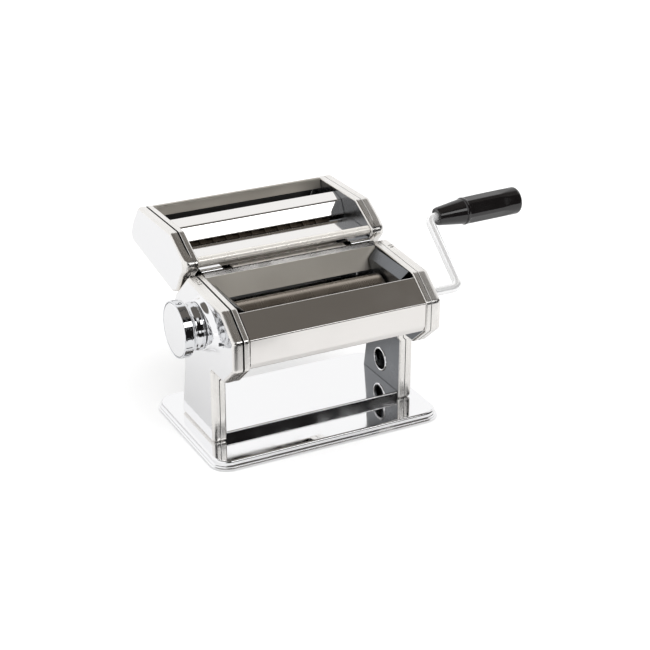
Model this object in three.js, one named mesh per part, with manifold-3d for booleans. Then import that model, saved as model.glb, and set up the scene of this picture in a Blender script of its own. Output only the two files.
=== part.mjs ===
// Hand-cranked pasta roller with a lift-off cutter head, as separate solids.
// Millimetres. Origin: centre of the base on the table. +X crank side, +Y back, +Z up.
import * as THREE from 'three';
import { mergeVertices } from 'three/addons/utils/BufferGeometryUtils.js';
import Module from 'manifold-3d';

const wasm = await Module();
wasm.setup();

// ---------------------------------------------------------------- driving sizes
const SHEET = 1.2;                       // pressed steel wall
const THIN = 0.9;                        // guide and comb sheet

const BASE_MARGIN = 13.1;                // base beyond the covers' outer faces
const BASE_DEPTH = 146.6;
const BASE_CORNER = 17;
const RIM_LOW = 1.2;                     // rim above the table, the feet reach down to 0
const BASE_TOP = 9;
const PLINTH_RISE = 5.8;                 // platform between the legs, above the base
const PLINTH_FRONT = -30.6;
const PLINTH_REAR = 32.9;
const FOOT_INSET = 17.2;                 // foot centres in from the base's edges

const LEG_TOP = 79.5;                    // everything above is measured from here
const CLAMP_RISE = 26;                   // clamp hole centre above the base
const CLAMP_R = 10;

const OUTER_X = 100;                     // outer faces of the covers
const COVER_DEPTH = 9.4;
const SEAM_GAP = 0.4;                    // between a frame's flange and its cover
const FRAME_DEPTH = 5.7;
const LEG_STEP = 2.3;                    // the legs' webs lie further out than the head's
const SHEET_PLAY = 0.4;                  // at each end of a sheet between the frames
const TAB_SINK = 0.6;                    // depth of the tab pressed into the covers' tops

const ROLL_R = 14;
const ROLL_ROOM = 11.7;                  // from a roller's end to the web, for cheek and gears
const ROLL_GAP = 0.35;                   // between the closed rollers
const ROLL_TILT = -55.6;                 // degrees, from the front roller to the rear one
const GAP_TRAVEL = 2.3;                  // how far the knob opens the rollers
const JOURNAL_R = 8;
const REAR_JOURNAL_R = 6;
const SHAFT_R = 4;
const CAM_R = 7;
const GEAR_TEETH = 20;
const GEAR_WIDTH = 7.2;

const BOSS_R = 21.5;
const BOSS_RISE = 6;
const KNOB_LENGTH = 20.7;
const KNOB_R = 25.2;

const CRANK_REACH = 63.5;                // from the cover to the crank's bend
const CRANK_ROD_R = 4;
const CRANK_BEND = 9;
const CRANK_ARM = new THREE.Vector3(8, 66, 45);
const GRIP_LENGTH = 101;                 // from the rod's bend to the end of the grip
const GRIP_RISE = 1.2;                   // degrees

const CUT_INSET = 0.4;                   // cutter caps inside the covers' outer faces
const CAP_DEPTH = 7.7;
const CUT_FRAME_DEPTH = 6.1;
const CUT_R = 10;
const CUT_CORE = 8.3;
const CUT_BITE = 1.2;                    // how far the rings reach into the other roll's grooves
const CUT_JOURNAL = 5.4;
const CUT_TEETH = 16;
const CUT_GEAR_WIDTH = 6;
const WIDE_RINGS = 11;
const FINE_RINGS = 16;

// What follows from them.
const BASE_WIDTH = 2 * (OUTER_X + BASE_MARGIN);
const COVER_SEAM = OUTER_X - COVER_DEPTH;
const FRAME_SEAM = COVER_SEAM - SEAM_GAP;
const WEB_X = FRAME_SEAM - FRAME_DEPTH;
const LEG_WEB_X = WEB_X + LEG_STEP;
const LEG_SEAM = COVER_SEAM + 1.8;
const PANEL_HALF = WEB_X - SHEET_PLAY;
const ROLL_HALF = WEB_X - ROLL_ROOM;
const GEAR_X1 = WEB_X - 0.9;
const GEAR_X0 = GEAR_X1 - GEAR_WIDTH;
const CHEEK_X = GEAR_X0 - 0.5;
const BOSS_X = OUTER_X + BOSS_RISE;
const KNOB_SEAM = BOSS_X + 0.3;
const KNOB_FACE = KNOB_SEAM + KNOB_LENGTH;
const CUT_OUTER_X = OUTER_X - CUT_INSET;
const CUT_SEAM = CUT_OUTER_X - CAP_DEPTH;
const CUT_FRAME_SEAM = CUT_SEAM - SEAM_GAP;
const CUT_WEB_X = CUT_FRAME_SEAM - CUT_FRAME_DEPTH;
const CUT_PANEL_HALF = CUT_WEB_X - SHEET_PLAY;
const CUT_HALF = ROLL_HALF - 0.8;
const HOOK_X = WEB_X - 0.6;
const PLINTH_TOP = BASE_TOP + PLINTH_RISE;
const ROLL_SPACING = 2 * ROLL_R + ROLL_GAP;
const CUT_SPACING = 2 * CUT_R - CUT_BITE;

const DEG = Math.PI / 180;
const X = new THREE.Vector3(1, 0, 0);
const Y = new THREE.Vector3(0, 1, 0);
const Z = new THREE.Vector3(0, 0, 1);

// A corner or point (y, height above the legs' tops, ...) as (y, z, ...).
const above = (corners) => corners.map(([y, height, ...rest]) => [y, LEG_TOP + height, ...rest]);
const pointAbove = (y, height) => new THREE.Vector2(y, LEG_TOP + height);
const polar = (angle, radius = 1) =>
  new THREE.Vector2(Math.cos(angle * DEG), Math.sin(angle * DEG)).multiplyScalar(radius);

const FRONT_ROLL = pointAbove(-20, 38.5);
const REAR_ROLL = FRONT_ROLL.clone().add(polar(ROLL_TILT, ROLL_SPACING));
const OPENING = polar(ROLL_TILT + 180);  // the way the front roller moves
const KNOB_AXIS = FRONT_ROLL.clone().addScaledVector(OPENING, GAP_TRAVEL / 2);
const TIE_FRONT = pointAbove(-70, 31.5);
const TIE_REAR = pointAbove(33, 26.5);
const CLAMP_HOLE = new THREE.Vector2(0.5, BASE_TOP + CLAMP_RISE);
const WIDE_FRONT = pointAbove(58.5, 63);
const WIDE_TILT = -10;
const WIDE_REAR = WIDE_FRONT.clone().add(polar(WIDE_TILT, CUT_SPACING));
const FINE_FRONT = pointAbove(98, 68.5);
const FINE_TILT = -10;
const FINE_REAR = FINE_FRONT.clone().add(polar(FINE_TILT, CUT_SPACING));
const TUBE_CENTRE = pointAbove(25, 77.1);

// Side outlines as [y, z, corner radius], anticlockwise from the top back.
const SIDE = [
  ...above([[14, 69.5, 5], [-57.8, 65.7, 6], [-83, 46.7, 5], [-83, 19.5, 5], [-61, 0, 5]]),
  ...above([[-35.9, 0, 3]]), [-35.9, BASE_TOP, 3], [34.9, BASE_TOP, 3],
  ...above([[26, -15.5, 8], [27, 0, 3], [45, 12.5, 5], [47, 34.5, 5], [41, 44.5, 6]]),
];
const CUT_SIDE = above([
  [127.5, 95.9, 6], [50.6, 97.5, 7], [23.3, 83.4, 6], [13.6, 77.3, 5], [28.2, 63.5, 8],
  [38.8, 46.1, 6], [49.6, 41.8, 6], [145.6, 56.9, 5], [148.5, 64.9, 4], [141.8, 77.3, 8],
]);

// ---------------------------------------------------------------- materials
const MATERIALS = {
  chromed_steel: [0xdfe1e3, 1, 0.12],
  polished_steel: [0xd2d3d4, 1, 0.16],
  brushed_steel: [0xa19c94, 1, 0.34],
  roller_steel: [0x8d867e, 1, 0.3],
  turned_steel: [0xb4b4b2, 1, 0.3],
  gear_steel: [0x8f9093, 1, 0.4],
  sintered_bronze: [0x9a7a4c, 1, 0.45],
  chromed_zinc: [0xe3e5e7, 1, 0.06],
  spring_steel: [0x77797c, 1, 0.3],
  black_plastic: [0x161515, 0, 0.22],
  black_rubber: [0x1c1c1c, 0, 0.8],
};
const assembly = new THREE.Group();
assembly.name = 'pasta_roller_machine';

// ---------------------------------------------------------------- shape helpers
// Corners [a, b, radius], moved in by an inset and rounded in steps of about `step` degrees.
function rounded(corners, inset = 0, step = 42) {
  const count = corners.length;
  const moved = corners.map(([a, b, r], i) => {
    const p = new THREE.Vector2(a, b);
    const before = new THREE.Vector2(...corners[(i + count - 1) % count]);
    const after = new THREE.Vector2(...corners[(i + 1) % count]);
    const into = p.clone().sub(before).normalize();
    const out = after.clone().sub(p).normalize();
    const normal = new THREE.Vector2(-into.y - out.y, into.x + out.x).normalize();
    const lean = normal.dot(new THREE.Vector2(-into.y, into.x));
    const convex = into.cross(out) > 0;
    const radius = Math.max(0.3, convex ? r - inset : r + inset);
    return { p: p.addScaledVector(normal, inset / lean), radius };
  });
  const outline = moved.flatMap(({ p, radius }, i) => {
    const before = moved[(i + count - 1) % count].p.clone().sub(p);
    const after = moved[(i + 1) % count].p.clone().sub(p);
    const half = before.angleTo(after) / 2;
    const reach = Math.min(radius / Math.tan(half), 0.45 * before.length(), 0.45 * after.length());
    const turn = reach * Math.tan(half);
    const middle = before.normalize().clone().add(after.normalize()).normalize();
    const centre = middle.multiplyScalar(turn / Math.sin(half)).add(p);
    const start = before.multiplyScalar(reach).add(p).sub(centre);
    const end = after.multiplyScalar(reach).add(p).sub(centre);
    const swing = Math.atan2(start.cross(end), start.dot(end));
    const steps = Math.max(1, Math.round(Math.abs(swing) / (step * DEG)));
    const origin = new THREE.Vector2();
    return Array.from({ length: steps + 1 }, (_, k) =>
      start.clone().rotateAround(origin, (swing * k) / steps).add(centre));
  });
  return new THREE.Shape(outline);
}

// An open line [a, b] turned into the outline of a bent sheet, metal on its left.
function sheetOutline(line, wall, bend = 1.6) {
  const points = line.map(([a, b]) => new THREE.Vector2(a, b));
  const last = points.length - 1;
  const far = points.map((p, i) => {
    const into = points[Math.max(i, 1)].clone().sub(points[Math.max(i, 1) - 1]).normalize();
    const next = Math.min(i, last - 1);
    const out = points[next + 1].clone().sub(points[next]).normalize();
    const normal = new THREE.Vector2(-into.y - out.y, into.x + out.x).normalize();
    const lean = normal.dot(new THREE.Vector2(-into.y, into.x));
    return p.clone().addScaledVector(normal, wall / lean);
  });
  const radiusAt = (i) => (i === 0 || i === last ? 0.3 : bend);
  const near = points.map((p, i) => [p.x, p.y, radiusAt(i)]);
  const back = far.map((p, i) => [p.x, p.y, radiusAt(i)]).reverse();
  return rounded([...near, ...back]);
}

function box(x0, x1, y0, y1, z0, z1) {
  const geometry = new THREE.BoxGeometry(x1 - x0, y1 - y0, z1 - z0);
  return toSolid(geometry.translate((x0 + x1) / 2, (y0 + y1) / 2, (z0 + z1) / 2));
}

function toSolid(geometry) {
  const bare = geometry.clone();
  bare.deleteAttribute('normal');
  bare.deleteAttribute('uv');
  const welded = mergeVertices(bare, 1e-4);
  const index = welded.index.array;
  const place = welded.attributes.position.array;
  const kept = [];
  let volume = 0;
  for (let i = 0; i < index.length; i += 3) {
    const [a, b, c] = [index[i], index[i + 1], index[i + 2]];
    if (a === b || b === c || c === a) continue;
    kept.push([a, b, c]);
    const [p, q, r] = [a, b, c].map((n) => new THREE.Vector3().fromArray(place, 3 * n));
    volume += p.dot(q.cross(r));
  }
  const triVerts = new Uint32Array(kept.flatMap(([a, b, c]) => (volume > 0 ? [a, b, c] : [a, c, b])));
  const vertProperties = new Float32Array(place);
  return new wasm.Manifold(new wasm.Mesh({ numProp: 3, vertProperties, triVerts }));
}

// Shapes drawn in (y, z) and run along X.
const ALONG_X = new THREE.Matrix4().makeBasis(Y, Z, X);
function prismX(shape, x0, x1) {
  const options = { depth: x1 - x0, bevelEnabled: false };
  const geometry = new THREE.ExtrudeGeometry(shape, options);
  return toSolid(geometry.applyMatrix4(ALONG_X).translate(x0, 0, 0));
}

// The same with its far face at x1 drawn in by a rounded edge.
function pressedX(shape, x0, x1, edge, depth) {
  const options = {
    depth: x1 - x0,
    bevelEnabled: true,
    bevelThickness: depth,
    bevelSize: edge,
    bevelOffset: -edge,
    bevelSegments: 2,
  };
  const geometry = new THREE.ExtrudeGeometry(shape, options);
  const solid = toSolid(geometry.applyMatrix4(ALONG_X).translate(x0 - depth, 0, 0));
  return solid.intersect(box(x0, x1 + 1, -300, 300, -50, 300));
}

// Shapes drawn in (x, z) and run along Y, or in (x, y) and run along Z.
function prismY(shape, y0, y1) {
  const geometry = new THREE.ExtrudeGeometry(shape, { depth: y1 - y0, bevelEnabled: false });
  const turn = new THREE.Matrix4().makeBasis(X, Z, Y.clone().negate());
  return toSolid(geometry.applyMatrix4(turn).translate(0, y1, 0));
}

function prismZ(shape, z0, z1) {
  const options = { depth: z1 - z0, bevelEnabled: false };
  return toSolid(new THREE.ExtrudeGeometry(shape, options).translate(0, 0, z0));
}

// A closed profile [along, radius] turned about a line along X through (y, z).
function turnedX(profile, centre, segments = 24) {
  const points = [...profile, profile[0]].map(([along, radius]) => new THREE.Vector2(radius, along));
  const geometry = new THREE.LatheGeometry(points, segments);
  const turn = new THREE.Matrix4().makeBasis(Y, X, Z.clone().negate());
  return toSolid(geometry.applyMatrix4(turn).translate(0, centre.x, centre.y));
}

const rod = (x0, x1, radius, centre, segments = 16) =>
  turnedX([[x0, 0], [x1, 0], [x1, radius], [x0, radius]], centre, segments);
const ring = (x0, x1, inner, outer, centre, segments = 16) =>
  turnedX([[x0, inner], [x1, inner], [x1, outer], [x0, outer]], centre, segments);

function rectangle(halfA, halfB, radius, inset = 0, step = 30) {
  const [a, b] = [halfA, halfB];
  return rounded([[-a, -b, radius], [a, -b, radius], [a, b, radius], [-a, b, radius]], inset, step);
}

// A rectangle in (y, z), centred and turned so that its second side follows the opening way.
function blockShape(halfAcross, halfAlong, centre, radius = 0.6) {
  const across = new THREE.Vector2(OPENING.y, -OPENING.x);
  const corners = [[-1, -1], [1, -1], [1, 1], [-1, 1]].map(([s, t]) => {
    const p = centre.clone();
    p.addScaledVector(across, s * halfAcross).addScaledVector(OPENING, t * halfAlong);
    return [p.x, p.y, radius];
  });
  return rounded(corners);
}

// Involute spur gear outline about a centre, with one tooth (or gap) facing `facing` degrees.
function gearShape(teeth, spacing, centre, facing, isGap, fine = true) {
  const pitch = spacing / 2;
  const module = spacing / teeth;
  const base = pitch * Math.cos(20 * DEG);
  const tip = pitch + 1.2 * module;
  const root = pitch - 1.5 * module;
  const involute = (radius) => {
    const angle = Math.acos(Math.min(1, base / radius));
    return Math.tan(angle) - angle;
  };
  const halfAtPitch = (Math.PI * module / 2 - 0.34) / (2 * pitch);
  const half = (radius) => halfAtPitch + involute(pitch) - involute(Math.max(radius, base));
  const low = Math.max(root, base);
  const levels = fine ? [root, (low + pitch) / 2, tip] : [root, tip];
  const shape = new THREE.Shape();
  for (let i = 0; i < teeth; i += 1) {
    const middle = facing * DEG + (2 * Math.PI * (i + (isGap ? 0.5 : 0))) / teeth;
    const flank = levels.map((radius) => [radius, half(radius)]);
    const walk = [...flank.map(([r, a]) => [r, -a]), ...flank.reverse()];
    walk.forEach(([radius, angle], n) => {
      const a = centre.x + radius * Math.cos(middle + angle);
      const b = centre.y + radius * Math.sin(middle + angle);
      if (i === 0 && n === 0) shape.moveTo(a, b);
      else shape.lineTo(a, b);
    });
  }
  shape.closePath();
  return shape;
}

function sweep(curve, radius, steps, sides = 12) {
  const section = new THREE.Shape();
  section.absarc(0, 0, radius, 0, 2 * Math.PI);
  const options = { steps, extrudePath: curve, bevelEnabled: false, curveSegments: sides };
  return toSolid(new THREE.ExtrudeGeometry(section, options));
}

const join = (first, ...others) => others.reduce((sum, solid) => sum.add(solid), first);
const cut = (first, ...others) => others.reduce((rest, solid) => rest.subtract(solid), first);
const other = (solid) => solid.mirror([1, 0, 0]);

function add(name, slot, solid) {
  const mesh = solid.getMesh();
  const geometry = new THREE.BufferGeometry();
  geometry.setAttribute('position', new THREE.BufferAttribute(mesh.vertProperties, 3));
  geometry.setIndex(new THREE.BufferAttribute(mesh.triVerts, 1));
  geometry.computeVertexNormals();
  const [color, metalness, roughness] = MATERIALS[slot];
  const material = new THREE.MeshStandardMaterial({ color, metalness, roughness });
  material.name = slot;
  const piece = new THREE.Mesh(geometry, material);
  piece.name = name;
  assembly.add(piece);
}

// ---------------------------------------------------------------- base
function basePlate() {
  const [a, b] = [BASE_WIDTH / 2, BASE_DEPTH / 2];
  const tray = new THREE.ExtrudeGeometry(rectangle(a, b, BASE_CORNER, 2.6), {
    depth: BASE_TOP - RIM_LOW - 1.6,
    bevelThickness: 1.6,
    bevelSize: 1.6,
    bevelOffset: -1.6,
    bevelSegments: 2,
  });
  const top = toSolid(tray.translate(0, 0, RIM_LOW)).intersect(box(-a, a, -b, b, RIM_LOW, 20));
  const flange = prismZ(rectangle(a, b, BASE_CORNER), RIM_LOW, RIM_LOW + 1.5);
  const bead = prismZ(rectangle(a, b, BASE_CORNER, 1.2), RIM_LOW, RIM_LOW + 3.2);
  const hollow = prismZ(rectangle(a, b, BASE_CORNER, 2.6 + SHEET), 0, BASE_TOP - SHEET);
  return cut(join(flange, bead, top), hollow);
}

const uprightRod = (x, y, z0, z1, radius, segments = 8) => {
  const geometry = new THREE.CylinderGeometry(radius, radius, z1 - z0, segments);
  return toSolid(geometry.rotateX(Math.PI / 2).translate(x, y, (z0 + z1) / 2));
};

const SCREW_X = (LEG_WEB_X + LEG_SEAM) / 2;
const SCREWS = [
  ['fl', -SCREW_X, -22], ['fr', SCREW_X, -22], ['bl', -SCREW_X, 22], ['br', SCREW_X, 22],
];
const screwHole = (x, y) => uprightRod(x, y, BASE_TOP - 4, BASE_TOP + 5, 2.1);
const screwHoles = SCREWS.map(([, x, y]) => screwHole(x, y));
add('base_plate', 'chromed_steel', cut(basePlate(), ...screwHoles));

SCREWS.forEach(([tag, x, y]) => {
  const head = uprightRod(x, y, BASE_TOP - 3.1, BASE_TOP - SHEET, 4);
  const shank = uprightRod(x, y, BASE_TOP - 3.1, BASE_TOP + 4, 2);
  const slot = box(x - 5, x + 5, y - 0.5, y + 0.5, BASE_TOP - 4, BASE_TOP - 2.3);
  add(`leg_screw_${tag}`, 'turned_steel', cut(join(head, shank), slot));
});

const [FOOT_X, FOOT_Y] = [BASE_WIDTH / 2 - FOOT_INSET, BASE_DEPTH / 2 - FOOT_INSET];
[['fl', -1, -1], ['fr', 1, -1], ['bl', -1, 1], ['br', 1, 1]].forEach(([tag, sideX, sideY]) => {
  const height = BASE_TOP - SHEET;
  const profile = [[0, 0], [6.6, 0], [7.6, 0.9], [7.2, height], [0, height]];
  const points = profile.map(([radius, height]) => new THREE.Vector2(radius, height));
  const geometry = new THREE.LatheGeometry(points, 10);
  add(`foot_${tag}`, 'black_rubber', toSolid(
    geometry.rotateX(Math.PI / 2).translate(sideX * FOOT_X, sideY * FOOT_Y, 0),
  ));
});

const plinthLine = [
  [PLINTH_REAR, BASE_TOP], [PLINTH_REAR, PLINTH_TOP], [PLINTH_FRONT, PLINTH_TOP], [PLINTH_FRONT, BASE_TOP],
];
const plinthEnd = LEG_WEB_X - 0.3;
add('crosspiece', 'chromed_steel', prismX(sheetOutline(plinthLine, SHEET, 1), -plinthEnd, plinthEnd));

// ---------------------------------------------------------------- side frames
const BLOCK_ALONG = 12;                  // half the bearing block, along the opening way
const blockSlot = blockShape(11.3, BLOCK_ALONG + 0.3 + GAP_TRAVEL / 2, KNOB_AXIS);
const BUSH_R = 7.4;

function sideFrame() {
  const [low, high] = [WEB_X - 5, OUTER_X];
  const leg = (x0, x1) => box(x0, x1, -100, 100, 0, LEG_TOP);
  const head = (x0, x1) => box(x0, x1, -100, 100, LEG_TOP, LEG_TOP + 100);
  const whole = prismX(rounded(SIDE), WEB_X, LEG_SEAM);
  const solid = cut(whole, leg(low, LEG_WEB_X), head(FRAME_SEAM, high));
  const inner = prismX(rounded(SIDE, SHEET, 45), WEB_X + SHEET, high);
  const aboveShelf = box(low, LEG_WEB_X + SHEET, -100, 100, LEG_TOP + SHEET, LEG_TOP + 100);
  const behindLegWeb = box(LEG_WEB_X + SHEET, high, -100, 100, 0, LEG_TOP + 100);
  const hollow = join(inner.intersect(aboveShelf), inner.intersect(behindLegWeb));
  const clampHole = rod(low, LEG_WEB_X + 3, CLAMP_R + 0.6, CLAMP_HOLE);
  const rimEnd = LEG_WEB_X + SHEET + 0.8;
  const rolledRim = ring(LEG_WEB_X - 1, rimEnd, CLAMP_R, CLAMP_R + 1.4, CLAMP_HOLE);
  return cut(
    join(cut(solid, hollow, clampHole), rolledRim),
    prismX(blockSlot, low, WEB_X + 3),
    rod(low, WEB_X + 3, BUSH_R + 0.3, REAR_ROLL),
    rod(low, WEB_X + 3, 2.6, TIE_FRONT, 6),
    rod(low, WEB_X + 3, 2.6, TIE_REAR, 6),
  );
}
const frame = cut(sideFrame(), ...screwHoles);
const otherHoles = SCREWS.map(([, x, y]) => screwHole(-x, y));
add('frame_right', 'chromed_steel', frame);
add('frame_left', 'chromed_steel', other(cut(frame, ...otherHoles)));

// ---------------------------------------------------------------- outer covers
function cover() {
  const solid = pressedX(rounded(SIDE), COVER_SEAM, OUTER_X, 2.2, 3.4);
  const hollow = join(
    prismX(rounded(SIDE, SHEET, 45), COVER_SEAM - 5, OUTER_X - 4),
    prismX(rounded(SIDE, SHEET + 2.2, 45), COVER_SEAM - 1, OUTER_X - SHEET),
  );
  const legStep = box(COVER_SEAM - 5, LEG_SEAM + SEAM_GAP, -100, 100, 0, LEG_TOP);
  const skin = cut(solid, prismX(rounded(SIDE, TAB_SINK, 45), COVER_SEAM - 5, OUTER_X + 5));
  const [tabLow, tabHigh, tabX] = [LEG_TOP + 60, LEG_TOP + 80, COVER_SEAM + 3.8];
  const tabEnd = uprightRod(tabX, -4, tabLow, tabHigh, 2.8, 12);
  const tab = join(box(tabX - 2.8, tabX + 2.8, -4, 30, tabLow, tabHigh), tabEnd);
  return cut(solid, hollow, legStep, tab.intersect(skin));
}
const plainCover = cover();
const socketHole = rod(OUTER_X - 5, OUTER_X + 5, 7.6, REAR_ROLL);
const socketLip = ring(OUTER_X - SHEET - 1, OUTER_X + 0.5, 7.6, 9.2, REAR_ROLL);
add('cover_right', 'chromed_steel', join(cut(plainCover, socketHole), socketLip));

// The left cover is drawn out into a boss that carries the regulator.
const BOSS_PAD = above([
  [-20, 61.5, 14], [-46, 58.9, 7], [-62, 46, 9], [-68.4, 32.9, 6], [-62, 28.1, 8],
  [-24, 17.5, 16], [-1, 32.5, 14],
]);
const PIN_CIRCLE = 17;                   // the knob's pin drops into one of ten holes on it
const PIN_ANGLE = 215;
function boss() {
  const pad = join(
    pressedX(rounded(BOSS_PAD), OUTER_X - 1, BOSS_X - 2.6, 2.4, 3),
    pressedX(rounded(BOSS_PAD, 2.4), OUTER_X - 1, BOSS_X, 2.2, 2.6),
  );
  const barrel = turnedX([
    [OUTER_X - 1, 0], [BOSS_X, 0], [BOSS_X, BOSS_R], [OUTER_X + 2, BOSS_R + 0.4],
    [OUTER_X - 1, BOSS_R + 1],
  ], KNOB_AXIS, 24);
  const pins = Array.from({ length: 10 }, (_, i) => {
    const centre = KNOB_AXIS.clone().add(polar(PIN_ANGLE - 20 * i, PIN_CIRCLE));
    return rod(BOSS_X - 3, BOSS_X + 1, 1.5, centre, 5);
  });
  const bore = rod(COVER_SEAM, BOSS_X + 1, SHAFT_R + 0.25, KNOB_AXIS, 12);
  return { solid: cut(join(pad, barrel), ...pins), bore };
}
const { solid: bossSolid, bore: bossBore } = boss();
add('cover_left', 'chromed_steel', other(cut(join(plainCover, bossSolid), bossBore)));

// ---------------------------------------------------------------- sheets between the frames
const betweenFrames = (line, wall) =>
  prismX(sheetOutline(line, wall), -PANEL_HALF, PANEL_HALF);

const frontLine = above([[-61.4, 61.9], [-82.6, 46.4], [-82.6, 24.2], [-79.6, 18.7], [-74, 18.7]]);
const frontRoll = rod(-PANEL_HALF, PANEL_HALF, 1.5, pointAbove(-60.6, 61.8), 10);
add('front_panel', 'polished_steel', join(betweenFrames(frontLine, SHEET), frontRoll));

const guideLine = above([[2.2, 48.1], [11.4, 69.1], [20, 69.5]]);
const guideNotch = box(HOOK_X - 27.9, WEB_X + 1, 12.9, 24, LEG_TOP + 60, LEG_TOP + 75);
const guide = cut(betweenFrames(guideLine, -THIN), guideNotch, other(guideNotch));
add('hopper_guide', 'brushed_steel', guide);

const backLine = above([[21.6, 61.7], [40.2, 44.3], [46, 34.7], [44.2, 13.1], [36, 7.3]]);
add('back_panel', 'polished_steel', betweenFrames(backLine, -SHEET));

function cheek() {
  const bend = [[WEB_X - 0.7, LEG_TOP + 64.9], [CHEEK_X, LEG_TOP + 58.5], [CHEEK_X, LEG_TOP]];
  const plate = prismY(sheetOutline(bend, -THIN, 0.8), -60, 20);
  const outline = rounded(above([
    [-53, 70.5, 1], [-53, 38.5, 4], [-40, 18.5, 8], [-22, 4.5, 4], [8, 4.5, 4], [12, 20.5, 6],
    [7.4, 42.5, 3], [-0.4, 47.9, 2], [8.6, 68.5, 1],
  ]));
  const journalSlot = blockShape(JOURNAL_R + 0.8, JOURNAL_R + 0.8 + GAP_TRAVEL / 2, KNOB_AXIS, 8);
  return cut(
    plate.intersect(prismX(outline, CHEEK_X - 5, WEB_X + 5)),
    prismX(journalSlot, CHEEK_X - 5, WEB_X + 5),
    rod(CHEEK_X - 5, WEB_X + 5, REAR_JOURNAL_R + 0.8, REAR_ROLL),
  );
}
add('cheek_right', 'brushed_steel', cheek());
add('cheek_left', 'brushed_steel', other(cheek()));

[['front', TIE_FRONT], ['rear', TIE_REAR]].forEach(([tag, centre]) => {
  const nut = WEB_X + SHEET;
  const half = [
    [0, 0], [nut + 6.3, 0], [nut + 6.3, 2.5], [nut + 4.2, 2.5], [nut + 4.2, 4.6],
    [nut, 4.6], [nut, 2.5], [WEB_X - 0.1, 2.5], [WEB_X - 0.1, 3.5], [0, 3.5],
  ];
  const right = turnedX(half, centre, 6);
  add(`tie_rod_${tag}`, 'turned_steel', join(right, other(right)));
});

// A scraper's edge lies under its roller at `angle`, its blade runs out along `blade`, its lip
// along `lip`.
[
  { tag: 'front', centre: FRONT_ROLL, angle: 218, blade: 212, length: 12.5, lip: 262 },
  { tag: 'rear', centre: REAR_ROLL, angle: 203, blade: 210, length: 12, lip: 150 },
].forEach(({ tag, centre, angle, blade, length, lip }) => {
  const half = CHEEK_X - THIN - 0.4;
  const edge = centre.clone().add(polar(angle, ROLL_R + 0.4));
  const end = edge.clone().add(polar(blade, length));
  const foot = end.clone().add(polar(lip, 5));
  const line = [[edge.x, edge.y], [end.x, end.y], [foot.x, foot.y]];
  add(`scraper_${tag}`, 'brushed_steel', prismX(sheetOutline(line, THIN, 0.8), -half, half));
});

// ---------------------------------------------------------------- roller pair
// Half a roller's outline: barrel, then journal out to `end`.
const rollerHalf = (journal, end) => [
  [end, journal], [ROLL_HALF, journal], [ROLL_HALF, ROLL_R - 0.5], [ROLL_HALF - 0.5, ROLL_R],
];
const mirrored = (profile) => profile.map(([along, radius]) => [-along, radius]).reverse();
const JOURNAL_END = WEB_X + 5.5;
const DRIVE_END = OUTER_X - 2;

function frontRoller() {
  const half = [[JOURNAL_END, 5.6], ...rollerHalf(JOURNAL_R, JOURNAL_END)];
  return turnedX([...half, ...mirrored(half)], FRONT_ROLL);
}
add('front_roller', 'roller_steel', frontRoller());

function rearRoller() {
  const driven = [[DRIVE_END, 0], ...rollerHalf(REAR_JOURNAL_R, DRIVE_END)];
  const plain = [[JOURNAL_END, 0], ...rollerHalf(REAR_JOURNAL_R, JOURNAL_END)];
  const body = turnedX([...driven, ...mirrored(plain)], REAR_ROLL);
  const socket = rod(ROLL_HALF - 2.8, OUTER_X, CRANK_ROD_R + 0.3, REAR_ROLL, 12);
  const [y, z] = [REAR_ROLL.x, REAR_ROLL.y];
  const cross = box(DRIVE_END - 10, OUTER_X, y - 8, y + 8, z - 1.7, z + 1.7);
  return cut(body, socket, cross);
}
add('rear_roller', 'roller_steel', rearRoller());

const frontTeeth = gearShape(GEAR_TEETH, ROLL_SPACING, FRONT_ROLL, ROLL_TILT, false);
const rearTeeth = gearShape(GEAR_TEETH, ROLL_SPACING, REAR_ROLL, ROLL_TILT + 180, true);
const gearBore = (radius, centre) => rod(GEAR_X0 - 5, GEAR_X1 + 5, radius + 0.02, centre, 24);
const frontGear = cut(prismX(frontTeeth, GEAR_X0, GEAR_X1), gearBore(JOURNAL_R, FRONT_ROLL));
const rearGear = cut(prismX(rearTeeth, GEAR_X0, GEAR_X1), gearBore(REAR_JOURNAL_R, REAR_ROLL));
add('front_gear', 'gear_steel', frontGear);
add('rear_gear', 'gear_steel', rearGear);

const bushIn = REAR_JOURNAL_R + 0.15;
const rearBush = turnedX([
  [WEB_X - 0.7, bushIn], [WEB_X + 3.1, bushIn], [WEB_X + 3.1, BUSH_R], [WEB_X - 0.05, BUSH_R],
  [WEB_X - 0.05, BUSH_R + 2.2], [WEB_X - 0.7, BUSH_R + 2.2],
], REAR_ROLL, 16);
add('roller_bush_right', 'sintered_bronze', rearBush);
add('roller_bush_left', 'sintered_bronze', other(rearBush));

// Bearing blocks carry the front roller and are moved along the opening way by the eccentrics.
const BLOCK_X0 = WEB_X - 0.4;
const BLOCK_X1 = WEB_X + 10.5;
function bearingBlock() {
  const block = prismX(blockShape(11, BLOCK_ALONG, FRONT_ROLL, 1.5), BLOCK_X0, BLOCK_X1);
  const yokeShape = blockShape(CAM_R + GAP_TRAVEL / 2 + 0.5, CAM_R + 0.35, FRONT_ROLL, 2);
  const yoke = prismX(yokeShape, JOURNAL_END + 0.3, BLOCK_X1 + 1);
  const bore = rod(BLOCK_X0 - 4, JOURNAL_END + 1, JOURNAL_R + 0.1, FRONT_ROLL, 24);
  return cut(block, bore, yoke);
}
add('bearing_block_right', 'sintered_bronze', bearingBlock());
add('bearing_block_left', 'sintered_bronze', other(bearingBlock()));

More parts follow.
